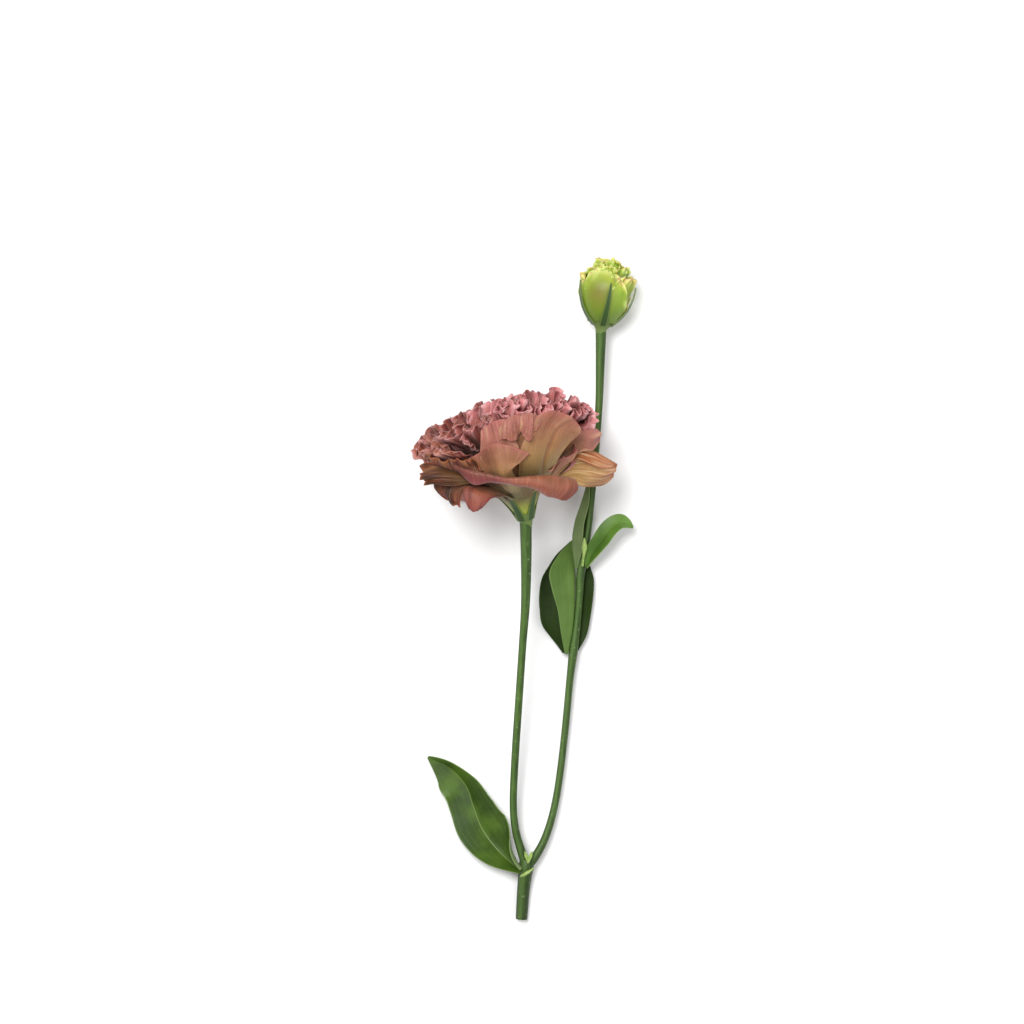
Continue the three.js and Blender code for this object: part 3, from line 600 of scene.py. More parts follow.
# %% [markdown]
# ## The outermost petals
# Below the cup the oldest petals bend away from the bloom. One lies across the front and is rolled
# along its whole length, pink and pointed at the left and brick brown at the right. At the left a rose
# petal hangs down, and three brown ones lie over each other: a pointed blade, a ridged flap and the cup
# under the ruffles. At the right a cream petal shows its face under a rolled rust rim. Round the back,
# where the flower lies on the surface, they spread as the CAD has them.

# %% Rolled and hanging petals
outer_draw = random.Random(11)
ROLLED_FRONT = (
    [(-4, 8, 10.5), (-3, 8.5, 10.5), (-2, 9, 10), (0, 9, 10), (1.5, 9, 10), (3, 8.5, 10), (4.5, 8, 10)],
    [(-9.4, 17, 20), (-7.4, 18, 19), (-5, 19, 18), (-2, 20, 17.4), (1, 20, 16.6), (3.6, 19, 16),
     (6.4, 17, 15.2)],
    [(-22.3, 27, 31.8), (-16.6, 31, 29.6), (-10.1, 33, 27), (-3.6, 33.4, 24.2), (4.9, 33, 22.9),
     (13.3, 31, 21.1), (19.9, 27, 17.6)],
    [(-22.2, 28.4, 31.5), (-17.4, 32.6, 26.8), (-10.4, 35, 25.4), (-3.8, 35.4, 23.2), (4.5, 35.4, 20.8),
     (12.8, 34.6, 17.4), (21.9, 28, 13.4)],
    [(-21.7, 29, 31.1), (-17.3, 31.4, 24.1), (-10.8, 33.2, 23.9), (-4, 33.8, 22.1), (3.9, 33.6, 18.6),
     (10.5, 32.4, 13.8), (16.8, 30, 10.3)],
    [(-21, 27, 30.5), (-15.5, 29, 25), (-10, 31.3, 24.4), (-4, 32, 21.9), (3.5, 31.5, 19), (10.5, 29.5, 14.8),
     (16.4, 27.4, 12.4)],
)
POINTED_BROWN = (
    [(-7, 5, 10.5), (-6, 7, 10), (-5, 8, 10)],
    [(-17, 14, 20.5), (-14, 17, 18.5), (-11, 19, 18)],
    [(-25, 19.5, 28.4), (-21.5, 23, 25.4), (-18.6, 25.5, 22)],
    [(-31, 21, 26.4), (-26.5, 24, 23), (-22, 25.6, 20.6)],
    [(-31.4, 21, 23), (-27.6, 24, 19.6), (-23.6, 25.4, 17.4)],
    [(-28.6, 23, 19), (-26, 24.6, 16.8), (-24.1, 25.6, 15.2)],
)
BROWN_FLAP = (
    [(-14, 20, 26), (-14, 23, 24), (-14, 24, 22)],
    [(-20, 23, 29), (-20, 26.4, 26.6), (-20, 27, 24)],
    [(-26, 23, 32), (-26.4, 26.6, 29), (-25.6, 27, 25)],
    [(-32, 21, 33.6), (-32, 25.4, 30), (-30.6, 25.6, 26.6)],
    [(-35.6, 19, 33), (-36.6, 22.6, 29.8), (-35, 22.6, 27.2)],
)
HANGING_ROSE = (
    [(-5, 6, 10), (-3.5, 8, 10), (-2, 9, 10)],
    [(-11, 18, 18.5), (-8, 19, 16.5), (-6, 17, 13.9)],
    [(-20, 25, 23), (-15, 27.4, 20), (-9, 23.6, 15.4)],
    [(-21.4, 28, 19), (-17.4, 29.8, 17.4), (-12.4, 27.4, 16.2)],
    [(-20.8, 28.6, 14.4), (-19, 29.4, 13.2), (-16.8, 29, 13.6)],
)
BROWN_CUP = (
    [(-6, 6, 12), (-4, 8, 12), (-2, 9, 12)],
    [(-17, 15, 21), (-12, 19, 20), (-6, 22, 19)],
    [(-29, 20, 31.2), (-21, 26.4, 28.6), (-12, 29, 26.6)],
    [(-33, 20.4, 34.6), (-24.4, 27.2, 31.8), (-14, 30.4, 30)],
    [(-34, 20.5, 37.2), (-25, 27.4, 35), (-15.6, 30.6, 34)],
)
CREAM_FACE = (
    [(6, 6.5, 11.5), (6, 6, 12), (6, 5, 11.5), (5.5, 4, 10.5), (5, 3, 9.5)],
    [(16, 9.5, 17.8), (16, 8.5, 18.5), (15, 8, 16.5), (14, 7, 14), (13.5, 5, 11.5)],
    [(23.6, 12, 21.4), (24.6, 9.5, 24.2), (22.5, 9.5, 20), (21.5, 8.5, 16), (20.2, 6.5, 12.2)],
    [(29.4, 10.5, 17.8), (30.6, 8, 22.8), (29.5, 8, 19), (27.5, 7, 13.6), (25, 6, 8.9)],
    [(34.2, 7.4, 14.8), (36, 5, 17.8), (34.8, 5, 14.5), (33.5, 4.5, 11), (32, 3, 7.1)],
    [(38, 3.4, 13.4), (39.5, 2, 13.8), (38.8, 1.8, 12.6), (38.2, 1.5, 11), (37, 1, 8.9)],
)
ROLLED_PETALS = (
    dict(rows=ROLLED_FRONT, grid=(110, 60), waves=(0.35, 2.2, 0.5, 0.7),
         tone=lambda u, v: ease(0.5 + 1.6 * u)),
    dict(rows=HANGING_ROSE, grid=(64, 48), waves=(0.4, 1.4, 0.5, 0.6, [(-0.5, -0.2, 0.6, 0.2)]),
         tone=lambda u, v: 1 - 0.5 * np.abs(u)),
)
BROWN_PETALS = (
    dict(rows=POINTED_BROWN, grid=(72, 52), waves=(0.6, 1.7, 0.3, 0.5, [(-0.2, 0.1, 0.5, 0.3)]), tone=0.8),
    dict(rows=BROWN_FLAP, grid=(64, 52), waves=(0.9, 1.9, 0.2, 0.7), tone=1.0),
    dict(rows=BROWN_CUP, grid=(84, 48), waves=(1.0, 2.6, 0.6, 1.2), tone=0.75),
)
CREAM_PETAL = (
    dict(rows=CREAM_FACE, grid=(84, 60), waves=(0.3, 1.8, 0.5, 1.0),
         tone=lambda u, v: ease((-0.42 - u) / 0.2)),
)
add_row_petals("rolled_petals", roll_paint, 0.45, ROLLED_PETALS, outer_draw)
add_row_petals("brown_petals", brown_paint, 0.42, BROWN_PETALS, outer_draw)
add_row_petals("cream_petal", cream_paint, 0.42, CREAM_PETAL, outer_draw)

# %% Petals round the back
CUPPED = [(9, 11), (17, 16), (26, 22), (31.5, 30), (33.5, 39)]
SPREADING = [(6, 9), (13, 14), (22, 19), (29, 21.5), (34, 22.5)]
DROOPING = [(6, 9), (13, 14), (22, 17.5), (30, 14), (36, 6)]
LAID = [(10, 12), (20, 16), (31, 21.5), (35.3, 28), (36.6, 33.5), (37.5, 38)]
BACK_PETALS = (
    dict(azimuth=182, profile=CUPPED, width=30, cup=0.75, depth=1.6, tone=0.7),
    dict(azimuth=215, profile=CUPPED, width=29, cup=0.75, depth=1.4, tone=0.8),
    dict(azimuth=325, profile=CUPPED, width=29, cup=0.75, depth=1.3, tone=0.4),
    dict(azimuth=355, profile=CUPPED, width=28, cup=0.75, depth=1.3, tone=0.2),
    dict(azimuth=205, profile=SPREADING, width=27, cup=0.5, depth=1.4, tone=0.8),
    dict(azimuth=238, profile=DROOPING, width=28, cup=0.4, depth=1.4, tone=0.7),
    dict(azimuth=308, profile=DROOPING, width=30, cup=0.4, depth=1.3, tone=0.5),
    dict(azimuth=270, profile=LAID, width=25, cup=0.1, depth=0.0, tone=0.3),
)
mesh = new_mesh()
for petal in BACK_PETALS:
    waves = ruffles(outer_draw, petal["depth"], 1.9, 0.35, 1.0)
    surface = turned_petal(bloom_frame, petal["azimuth"], petal["profile"], petal["width"], petal["cup"])
    add_blade(mesh, surface, waves, 72, 44, petal["tone"])
finish_piece(mesh, "petals_round_the_back", [crown_paint], ["bloom_petals"], thick=0.42)

# %% [markdown]
# ## Tube, heart and sepals
# The petals are joined at their base into a short tube, olive yellow with brown streaks, that stands
# in the calyx. Inside the dome the petals are packed, so a plain heart in the darker rose fills it and
# no light shows between them. Both are turned: a profile spun round the flower's axis. The sepals are
# narrow blades that run up the outside from a small cup.

# %% Turned pieces
def add_turned(mesh, frame_axes, profile, sides):
    """A profile of radius and height, spun round the flower's axis; its tone is the height in mm."""
    base, right, top, axis = frame_axes
    curve = smooth_curve(profile)(np.linspace(0, 1, 6 * len(profile)))
    spots = [base + r * right + h * axis for r, h in curve]
    layer = mesh.verts.layers.float["tone"]
    line = [mesh.verts.new(spot * MM) for spot in spots]
    edges = [mesh.edges.new(pair) for pair in zip(line, line[1:])]
    bmesh.ops.spin(mesh, geom=line + edges, cent=base * MM, axis=axis, angle=2 * math.pi, steps=sides,
                   use_merge=True)
    bmesh.ops.remove_doubles(mesh, verts=mesh.verts, dist=1e-6)
    bmesh.ops.recalc_face_normals(mesh, faces=mesh.faces)
    for vertex in mesh.verts:
        vertex[layer] = (np.array(vertex.co) / MM - base) @ axis


tube_paint, tree, shader = start_material("tube_olive", Roughness=0.5, Subsurface_Weight=0.1,
                                          Subsurface_Scale=0.003)
BLOOM_HEIGHT = 40.0
height = maths("DIVIDE", attribute(tree, "tone"), BLOOM_HEIGHT)
blotch = noise(place_on_object(tree), 260.0, 3.0)
level = plus(height, times(minus(blotch, 0.5), 0.12))
coat(shader, ramp(level, [(0.0, 126, 148, 52), (0.1, 150, 160, 60), (0.22, 112, 104, 52),
                          (0.34, 110, 70, 50), (0.6, 120, 62, 58), (1.0, 128, 66, 66)]))

TUBE_AND_HEART = [(0, 0), (2.4, 0), (3.9, 2.8), (6.2, 7), (9, 11), (12.6, 14.6), (16.5, 18.5), (18, 24),
                  (14, 31), (7, 35), (0, 36)]
mesh = new_mesh()
add_turned(mesh, bloom_frame, TUBE_AND_HEART, 40)
finish_piece(mesh, "corolla_tube", [tube_paint], ["bloom_petals"])

# %% Sepals and their cups
sepal_paint, tree, shader = start_material("sepal_green", Roughness=0.45, Specular_IOR_Level=0.25)
_, along, middle, _ = blade_coordinates(tree)
grain = noise(place_on_object(tree), 420.0, 3.0)
sepal_colour = ramp(along, [(0.0, 46, 70, 28), (0.4, 50, 74, 34), (1.0, 58, 78, 48)])
sepal_colour = mixed(times(step_up(middle, 0.5, 1.0), 0.6), sepal_colour, paint(124, 144, 78))
sepal_colour = mixed(times(grain, 0.3), sepal_colour, paint(60, 84, 44))
coat(shader, sepal_colour, grain)

SEPAL_BREADTH = (1, 1.05, 0.8, 0.5, 0.12)


def make_calyx(name, frame_axes, cup, outline, first, width, flare):
    """A cup and a sepal for each flare, which moves the sepal's tip out or in by that many mm."""
    mesh = new_mesh()
    add_turned(mesh, frame_axes, cup, 28)
    for k, out in enumerate(flare):
        profile = [(r + out * i * i / 16, h) for i, (r, h) in enumerate(outline)]
        surface = turned_petal(frame_axes, first + 360 * k / len(flare), profile, width, 0.8, SEPAL_BREADTH,
                               rounding=0)
        add_blade(mesh, surface, still, 12, 26, 0.5)
    finish_piece(mesh, name, [sepal_paint], [name.replace("sepals", "calyx")], thick=0.5, rounds=1)


BLOOM_CUP = [(0, -3.4), (1.5, -3.4), (2.25, -1.2), (2.65, -0.6), (3.2, 0.4), (3.9, 2), (3.7, 2.1), (2.4, 0.4),
             (0, 0.2)]
BLOOM_SEPAL = [(3.0, -0.4), (4.3, 2.6), (6.2, 6.4), (8.6, 9.8), (11.2, 12.6)]
BUD_CUP = [(0, -3.4), (1.4, -3.4), (2.1, -1.2), (2.6, -0.4), (3.4, 0.6), (4.4, 2), (4.2, 2.1), (2.4, 0.4),
           (0, 0.2)]
BUD_SEPAL = [(3.6, 0.2), (6.4, 2.8), (9.2, 6.8), (11.1, 12), (11.5, 17.2)]
make_calyx("bloom_sepals", bloom_frame, BLOOM_CUP, BLOOM_SEPAL, 50, 3.6, (-1.0, -0.6, 0.2, 0.1, 0.1))
make_calyx("bud_sepals", bud_frame, BUD_CUP, BUD_SEPAL, 12, 2.8, (0.2, 0.3, 0.5, -0.2, -0.4))

# %% [markdown]
# ## The bud
# The bud is half open: four wide lime petals wrap round each other, and a tuft of small frilled ones
# shows at the top, pale and a little pink at the rims. An olive blush lies on the middle of the front
# petal. The same blades serve, closed round the bud's axis, with a plain body inside so that it looks
# full from each side. Small petals grow one after the other by the golden angle, as seeds do.

# %% Bud paint
bud_paint, tree, shader = start_material("bud_lime", Roughness=0.5, Subsurface_Weight=0.25,
                                         Subsurface_Scale=0.004)
across, along, middle, tone = blade_coordinates(tree)
fold, here = attribute(tree, "fold"), place_on_object(tree)
cloud = noise(here, 130.0, 3.0)
streak = noise(combined(times(across, 30.0), times(along, 1.5), tone), 1.0, 3.0)
bud_colour = ramp(plus(along, times(minus(cloud, 0.5), 0.3)),
                  [(0.0, 88, 110, 44), (0.35, 110, 138, 28), (0.7, 134, 160, 34), (1.0, 170, 180, 62)])
from_blush = maths("ABSOLUTE", minus(along, 0.55))
blush = times(minus(1.0, step_up(middle, 0.0, 0.7)), step_up(minus(1.0, from_blush), 0.55, 1.0))
bud_colour = mixed(times(times(blush, tone), 0.85), bud_colour, paint(118, 108, 36))
# painted shade in the folds and a painted highlight on the ridges
bud_colour = mixed(times(step_up(times(fold, -1.0), 0.0, 1.0), 0.6), bud_colour, paint(88, 112, 30))
bud_colour = mixed(times(step_up(fold, 0.1, 1.0), 0.5), bud_colour, paint(214, 222, 130))
bud_colour = mixed(times(step_up(streak, 0.5, 0.7), 0.25), bud_colour, paint(108, 138, 40))
dots = noise(here, 520.0, 2.0)
bud_rim = mixed(step_up(dots, 0.5, 0.62), paint(228, 216, 130), paint(206, 150, 120))
bud_edge = larger(step_up(along, 0.84, 1.0), step_up(middle, 0.95, 1.05))
bud_colour = mixed(times(bud_edge, 0.75), bud_colour, bud_rim)
coat(shader, bud_colour, streak)

# %% Bud petals
bud_draw = random.Random(3)
FRONT = [(4.2, 1.4), (7.9, 6.0), (10.1, 11.6), (10.5, 16.6), (8.2, 22.4)]
WRAP = [(4.2, 1.4), (7.9, 6.0), (10.0, 11.6), (10.3, 16.6), (7.6, 22.6)]
FLARED = [(3.6, 1.4), (6.8, 6.0), (8.9, 11.4), (9.8, 15.6), (10.8, 20.4)]
BUD_BREADTH = (0.5, 0.9, 1, 1, 0.85)
SMALL_PETALS, GOLDEN_ANGLE = 11, 137.5
BUD_PETALS = (
    dict(azimuth=106, profile=FRONT, width=26, depth=0.3, folds=2.2, start=0.7, tone=1.0, rounding=0.3),
    dict(azimuth=26, profile=FLARED, width=19, depth=0.7, folds=4.2, start=0.72, tone=0.25, rounding=0.1),
    dict(azimuth=190, profile=FLARED, width=16, depth=0.7, folds=3.0, start=0.72, tone=0.1, rounding=0.1),
    dict(azimuth=282, profile=WRAP, width=20, depth=0.5, folds=2.2, start=0.6, tone=0.3, rounding=0.3),
)
mesh = new_mesh()
for petal in BUD_PETALS:
    surface = turned_petal(bud_frame, petal["azimuth"], petal["profile"], petal["width"], 0.95, BUD_BREADTH,
                           rounding=petal["rounding"])
    waves = ruffles(bud_draw, petal["depth"], petal["folds"], petal["start"], 1.1)
    add_blade(mesh, surface, waves, 76, 40, petal["tone"])
for k in range(SMALL_PETALS):
    inward = k / (SMALL_PETALS - 1)
    radius, height = 8.4 - 6.6 * inward, 21.0 + 5.6 * math.sqrt(inward) + bud_draw.uniform(-0.6, 0.6)
    profile = [(0.8 * radius, 14), (0.95 * radius + 0.8, height - 5), (radius + 0.6, height - 2),
               (radius, height)]
    azimuth, width = GOLDEN_ANGLE * k + bud_draw.uniform(-15, 15), bud_draw.uniform(12, 15)
    tilt, twist = bud_draw.uniform(-0.3, 0.3), bud_draw.uniform(-25, 25)
    surface = turned_petal(bud_frame, azimuth, profile, width, 0.85, BUD_BREADTH, tilt, 0.15, twist)
    waves = ruffles(bud_draw, 0.6, bud_draw.uniform(2.0, 3.0), 0.35, 1.5)
    add_blade(mesh, surface, waves, 72, 30, 0.0)
finish_piece(mesh, "bud_petals_wrapped", [bud_paint], ["bud_petals"], thick=0.4)

BUD_HEART = [(0, 0), (2.3, 0), (4.8, 2.4), (7.4, 6.6), (9.2, 12.4), (8.8, 18), (6.0, 22), (0, 24)]
mesh = new_mesh()
add_turned(mesh, bud_frame, BUD_HEART, 32)
finish_piece(mesh, "bud_heart", [bud_paint], ["bud_petals"])

# %% [markdown]
# ## Leaves
# A lisianthus leaf is an oval blade without a stalk, waxy and a little blue, with a pale midrib and a
# few veins that run the length of the leaf, and a grey-green underside. Each leaf follows its own
# midrib, and its two halves fold up by their own angles. The upper side and the underside have
# different paint, which the Solidify modifier gives to the two faces of the sheet.

# %% Leaf paint
VEIN_PLACES = (0.3, 0.58, 0.8)


def leaf_material(name, deep, light, rib, roughness, vein_share, shine=0.25):
    material, tree, shader = start_material(name, Roughness=roughness, Specular_IOR_Level=shine)
    _, _, middle, tone = blade_coordinates(tree)
    here = place_on_object(tree)
    cells = noise(here, 1300.0, 3.0, 0.6)
    clouds = noise(here, 90.0, 3.0)
    body = mixed(step_up(clouds, 0.3, 0.7), deep, light)
    body = mixed(times(tone, 0.55), body, light)
    body = mixed(times(cells, 0.25), body, mixed(1.0, body, paint(170, 190, 150), "MULTIPLY"))
    midrib = minus(1.0, step_up(middle, 0.01, 0.04))
    veins = 0.0
    for place in VEIN_PLACES:
        away = maths("ABSOLUTE", minus(middle, place))
        veins = larger(veins, minus(1.0, step_up(away, 0.004, 0.03)))
    lines = larger(midrib, times(veins, vein_share))
    margin = step_up(middle, 0.95, 0.99)
    body = mixed(times(larger(lines, margin), 0.5), body, rib)
    coat(shader, body, minus(times(cells, 0.4), lines), 0.35, 0.0004)
    return material


leaf_upper = leaf_material("leaf_upper_side", paint(38, 60, 12), paint(72, 100, 26), paint(124, 146, 78),
                           0.36, 0.15, 0.35)
leaf_under = leaf_material("leaf_underside", paint(74, 100, 40), paint(90, 118, 54), paint(124, 146, 90),
                           0.55, 0.15)
# a leaf colour darkened as painted shade, for leaves that lie in shadow
leaf_in_painted_shade = leaf_material("shaded_leaf", paint(20, 34, 6), paint(36, 54, 14), paint(66, 88, 36),
                          0.5, 0.1, 0.08)
leaf_grey = leaf_material("leaf_grey_back", paint(90, 108, 64), paint(112, 130, 84), paint(150, 164, 120),
                          0.55, 0.2)
leaf_young = leaf_material("young_leaf", paint(54, 88, 26), paint(94, 130, 50), paint(150, 178, 108),
                           0.38, 0.1)
print("leaf paints:", [m.name for m in (leaf_upper, leaf_under, leaf_in_painted_shade, leaf_grey, leaf_young)])

# %% Leaf shape
def leaf_surface(midrib, left, right, fold_left, fold_right, face, roll_right=(0, 0)):
    rib, halves = smooth_curve(midrib), (smooth_values(left), smooth_values(right))
    folds = (smooth_values(fold_left), smooth_values(fold_right))
    rolled = smooth_values(roll_right)
    face_base, face_tip = (unit(np.array(way, float)) for way in face)

    def surface(u, v):
        t = np.clip(v, 0, 1)
        ahead = unit(rib(np.clip(t + 1e-3, 0, 1)) - rib(np.clip(t - 1e-3, 0, 1)))
        towards = face_base + (face_tip - face_base) * t[:, None]
        side = unit(np.cross(ahead, towards))
        upper = np.cross(side, ahead)
        half = u < 0
        fold = np.radians(np.where(half, folds[0](t), folds[1](t)))
        roll = np.where(half, 1e-3, np.maximum(np.radians(rolled(t)), 1e-3))
        radius = np.where(half, halves[0](t), halves[1](t)) / roll
        edge = fold + roll * np.abs(u)
        out = radius * (np.sin(edge) - np.sin(fold))
        rise = radius * (np.cos(fold) - np.cos(edge)) * ease(np.abs(u) / 0.5 + 0.35)
        return rib(t) + (np.sign(u) * out)[:, None] * side + rise[:, None] * upper + (v - t)[:, None] * ahead

    return surface


def leaf_waves(depth, folds, blister=0.0):
    def waves(u, v):
        phase = np.where(u < 0, 0.0, 1.9)
        rise = depth * u * u * np.sin(2 * math.pi * folds * v + phase) * np.sin(math.pi * np.clip(v, 0, 1))
        rise = rise + blister * np.exp(-(((u - 0.4) / 0.2) ** 2) - ((v - 0.3) / 0.06) ** 2)
        rise = rise - 0.12 * np.exp(-((u / 0.05) ** 2))
        nothing = np.zeros_like(u)
        return rise, nothing, nothing, nothing

    return waves


def make_leaf(name, node, upper, under, depth, folds, tone=0.3, blister=0.0, slot="leaf", **shape):
    mesh = new_mesh()
    add_blade(mesh, leaf_surface(**shape), leaf_waves(depth, folds, blister), 48, 72, tone)
    finish_piece(mesh, name, [upper, under], [node], thick=0.4, rounds=1)


# %% The five leaves
make_leaf(
    "fork_leaf", "leaf_fork", leaf_upper, leaf_grey, 0.9, 2.2, blister=0.6,
    midrib=[(-0.1, -113.3, 7.9), (-8.6, -106.2, 3.9), (-15.6, -97.4, 1.3), (-19.4, -88.0, 0.7),
            (-22.4, -79.4, 0.8), (-28.6, -72.4, 1.6), (-37.8, -67.6, 3.4)],
    left=[1.6, 8.3, 10.1, 10.2, 10.2, 8.6, 0.5], right=[3.4, 10.6, 12.7, 10.6, 6.6, 4.2, 0.5],
    fold_left=[30, 24, 18, 16, 14, 12, 6], fold_right=[12, 8, 24, 36, 48, 48, 20],
    roll_right=[170, 90, 20, 4, 0, 0, 0],
    face=[(0.1, 0.1, 1), (0, 0, 1)])
# the near leaf's upper side and the whole far leaf are painted in shade
make_leaf(
    "middle_leaf_near", "leaf_middle_left", leaf_in_painted_shade, leaf_under, 0.7, 1.6,
    midrib=[(18.4, -26.2, 5.2), (20.1, -17.6, 5.6), (21.0, -9, 5.7), (21.4, -1, 5.4), (21.4, 6.5, 4.4),
            (20.8, 13.5, 2.9), (20.4, 19.5, 1.7)],
    left=[2.2, 11.6, 14.2, 14.6, 12.8, 7.6, 0.5], right=[1.2, 5.4, 8.4, 11.2, 12.2, 7.0, 0.5],
    fold_left=[60, 70, 73, 74, 76, 82, 86], fold_right=[70, 66, 63, 62, 64, 72, 80],
    face=[(-1, 0, 0.1), (-1, 0, 0.15)])
make_leaf(
    "middle_leaf_far", "leaf_middle_right", leaf_in_painted_shade, leaf_in_painted_shade, 0.4, 1.5, tone=0.8,
    midrib=[(21.8, -24.8, 3.6), (22.9, -18, 3.0), (24.0, -10, 2.7), (24.8, -2, 2.7), (25.6, 5, 3.0),
            (26.6, 10.5, 3.3)],
    left=[1, 3.4, 4.0, 4.2, 3.4, 0.5], right=[1, 3.6, 4.4, 4.6, 4.0, 0.5],
    fold_left=[60, 66, 68, 68, 66, 60], fold_right=[64, 66, 66, 64, 62, 60],
    face=[(1, 0, -0.1), (1, 0, -0.1)])
make_leaf(
    "upper_leaf_back", "leaf_upper_left", leaf_upper, leaf_grey, 0.35, 1.5, slot="leaf_underside",
    midrib=[(21.6, 8.2, 6.6), (20.7, 14.5, 6.9), (20.5, 21, 7.2), (21.6, 27.5, 7.6), (23.8, 34, 8.0),
            (25.6, 40, 8.3), (26.6, 45, 8.6)],
    left=[1, 4.2, 4.9, 4.6, 3.8, 2.2, 0.5], right=[1, 4.4, 5.4, 5.0, 4.0, 2.2, 0.5],
    fold_left=[50, 52, 54, 54, 52, 46, 40], fold_right=[50, 56, 60, 60, 56, 46, 40],
    face=[(1, 0, 0), (1, -0.2, 0)])
make_leaf(
    "upper_leaf_arching", "leaf_upper_right", leaf_young, leaf_under, 0.4, 1.4, tone=0.5,
    midrib=[(26.0, 8.6, 7.0), (28.4, 13.8, 8.6), (32, 19.2, 10.2), (35.3, 23.9, 11.0), (39, 26.5, 11.0),
            (42, 26.2, 10.2), (44.6, 24.6, 9.0)],
    left=[0.9, 3.3, 4.1, 4.2, 3.8, 2.4, 0.4], right=[0.9, 3.1, 3.7, 3.8, 3.4, 2.2, 0.4],
    fold_left=[40, 34, 30, 26, 24, 20, 10], fold_right=[40, 30, 24, 18, 14, 12, 10],
    face=[(-0.5, 0.3, 1), (0.2, 0.6, 1)])

# %% [markdown]
# ## The stem
# A stem is a round rod whose thickness changes: it swells at each node and under each flower. A
# circle is extruded along the centre line, ring by ring, and each ring is turned to face along the
# line. Fine ridges run its length, and a painted highlight, a paler stripe, lies on the side towards
# the light. The cut end is closed with rings of its own: green skin, then pale pith.

# %% Stem paint
stem_paint, tree, shader = start_material("stem_green", Roughness=0.42, Specular_IOR_Level=0.2)
highlight_and_pith = attribute(tree, "tone")
here = place_on_object(tree)
stretched = add_node(tree, "Mapping", {"Vector": here, "Scale": (900.0, 60.0, 900.0)}).outputs[0]
fibre = noise(stretched, 1.0, 3.0)
speck = noise(here, 700.0, 2.0)
stem_colour = ramp(fibre, [(0.25, 34, 56, 16), (0.55, 54, 78, 28), (0.8, 74, 102, 42)])
up_the_stem = add_node(tree, "SeparateXYZ", {0: here}).outputs[1]
stem_colour = mixed(times(step_up(up_the_stem, -0.09, -0.125), 0.6), stem_colour, paint(30, 44, 14))
# painted highlight: a paler stripe on the lit side of the stem
stem_colour = mixed(times(step_up(highlight_and_pith, 0.2, 1.0), 0.4), stem_colour, paint(98, 128, 68))
stem_colour = mixed(times(step_up(speck, 0.66, 0.74), 0.35), stem_colour, paint(150, 168, 116))
stem_colour = mixed(step_up(highlight_and_pith, 1.5, 2.0), stem_colour, paint(176, 190, 130))
coat(shader, stem_colour, fibre, 0.35)

# %% Rods
STEM_RIDGES, LIT_SIDE = 6, 2.0  # ridges round a stem, and the angle in radians of its paler stripe
PITH_TONE, SKIN_TONE = 2.2, 0.2


def add_rod(mesh, stations, steps, sides=40, ridge=0.02, pith=False):
    """A rod along stations of x, y, z, radius, with fine ridges, closed at both ends."""
    layer = mesh.verts.layers.float["tone"]
    spots = smooth_curve(stations)(np.linspace(0, 1, steps + 1))
    centres, radii = spots[:, :3], spots[:, 3]
    ahead = unit(np.gradient(centres, axis=0))
    side = unit(np.cross(ahead, (0.0, 0.0, 1.0)))
    top = np.cross(side, ahead)
    ring = bmesh.ops.create_circle(mesh, segments=sides, radius=1)["verts"]
    first = ring
    angles = [math.atan2(vertex.co.y, vertex.co.x) for vertex in ring]
    for k in range(steps + 1):
        if k:
            ring = grow_ring(mesh, ring)
        for vertex, angle in zip(ring, angles):
            radius = radii[k] * (1 + ridge * math.cos(STEM_RIDGES * angle))
            spot = centres[k] + radius * (math.cos(angle) * side[k] + math.sin(angle) * top[k])
            vertex.co = spot * MM
            # the tone marks the painted highlight, strongest on the lit side
            vertex[layer] = max(0.0, math.cos(angle - LIT_SIDE)) ** 4
    for end, centre in ((first, centres[0]), (ring, centres[-1])):
        close_end(mesh, end, centre, pith and end is first)


def ring_edges(ring):
    around = set(ring)
    found = (edge for vertex in ring for edge in vertex.link_edges if edge.other_vert(vertex) in around)
    return list(dict.fromkeys(found))


def grow_ring(mesh, ring):
    """A ring extruded from this one, with its vertices in the same order."""
    grown = bmesh.ops.extrude_edge_only(mesh, edges=ring_edges(ring))["geom"]
    new = {item for item in grown if isinstance(item, bmesh.types.BMVert)}
    return [next(e.other_vert(v) for e in v.link_edges if e.other_vert(v) in new) for v in ring]


def close_end(mesh, ring, centre, pith):
    layer = mesh.verts.layers.float["tone"]
    middle = np.array(centre) * MM
    for shrink in (0.8, 0.5):
        old_ring, ring = ring, grow_ring(mesh, ring)
        for old, vertex in zip(old_ring, ring):
            vertex.co = middle + (np.array(old.co) - middle) * shrink
            vertex[layer] = PITH_TONE if pith else SKIN_TONE
    bmesh.ops.contextual_create(mesh, geom=ring_edges(ring))


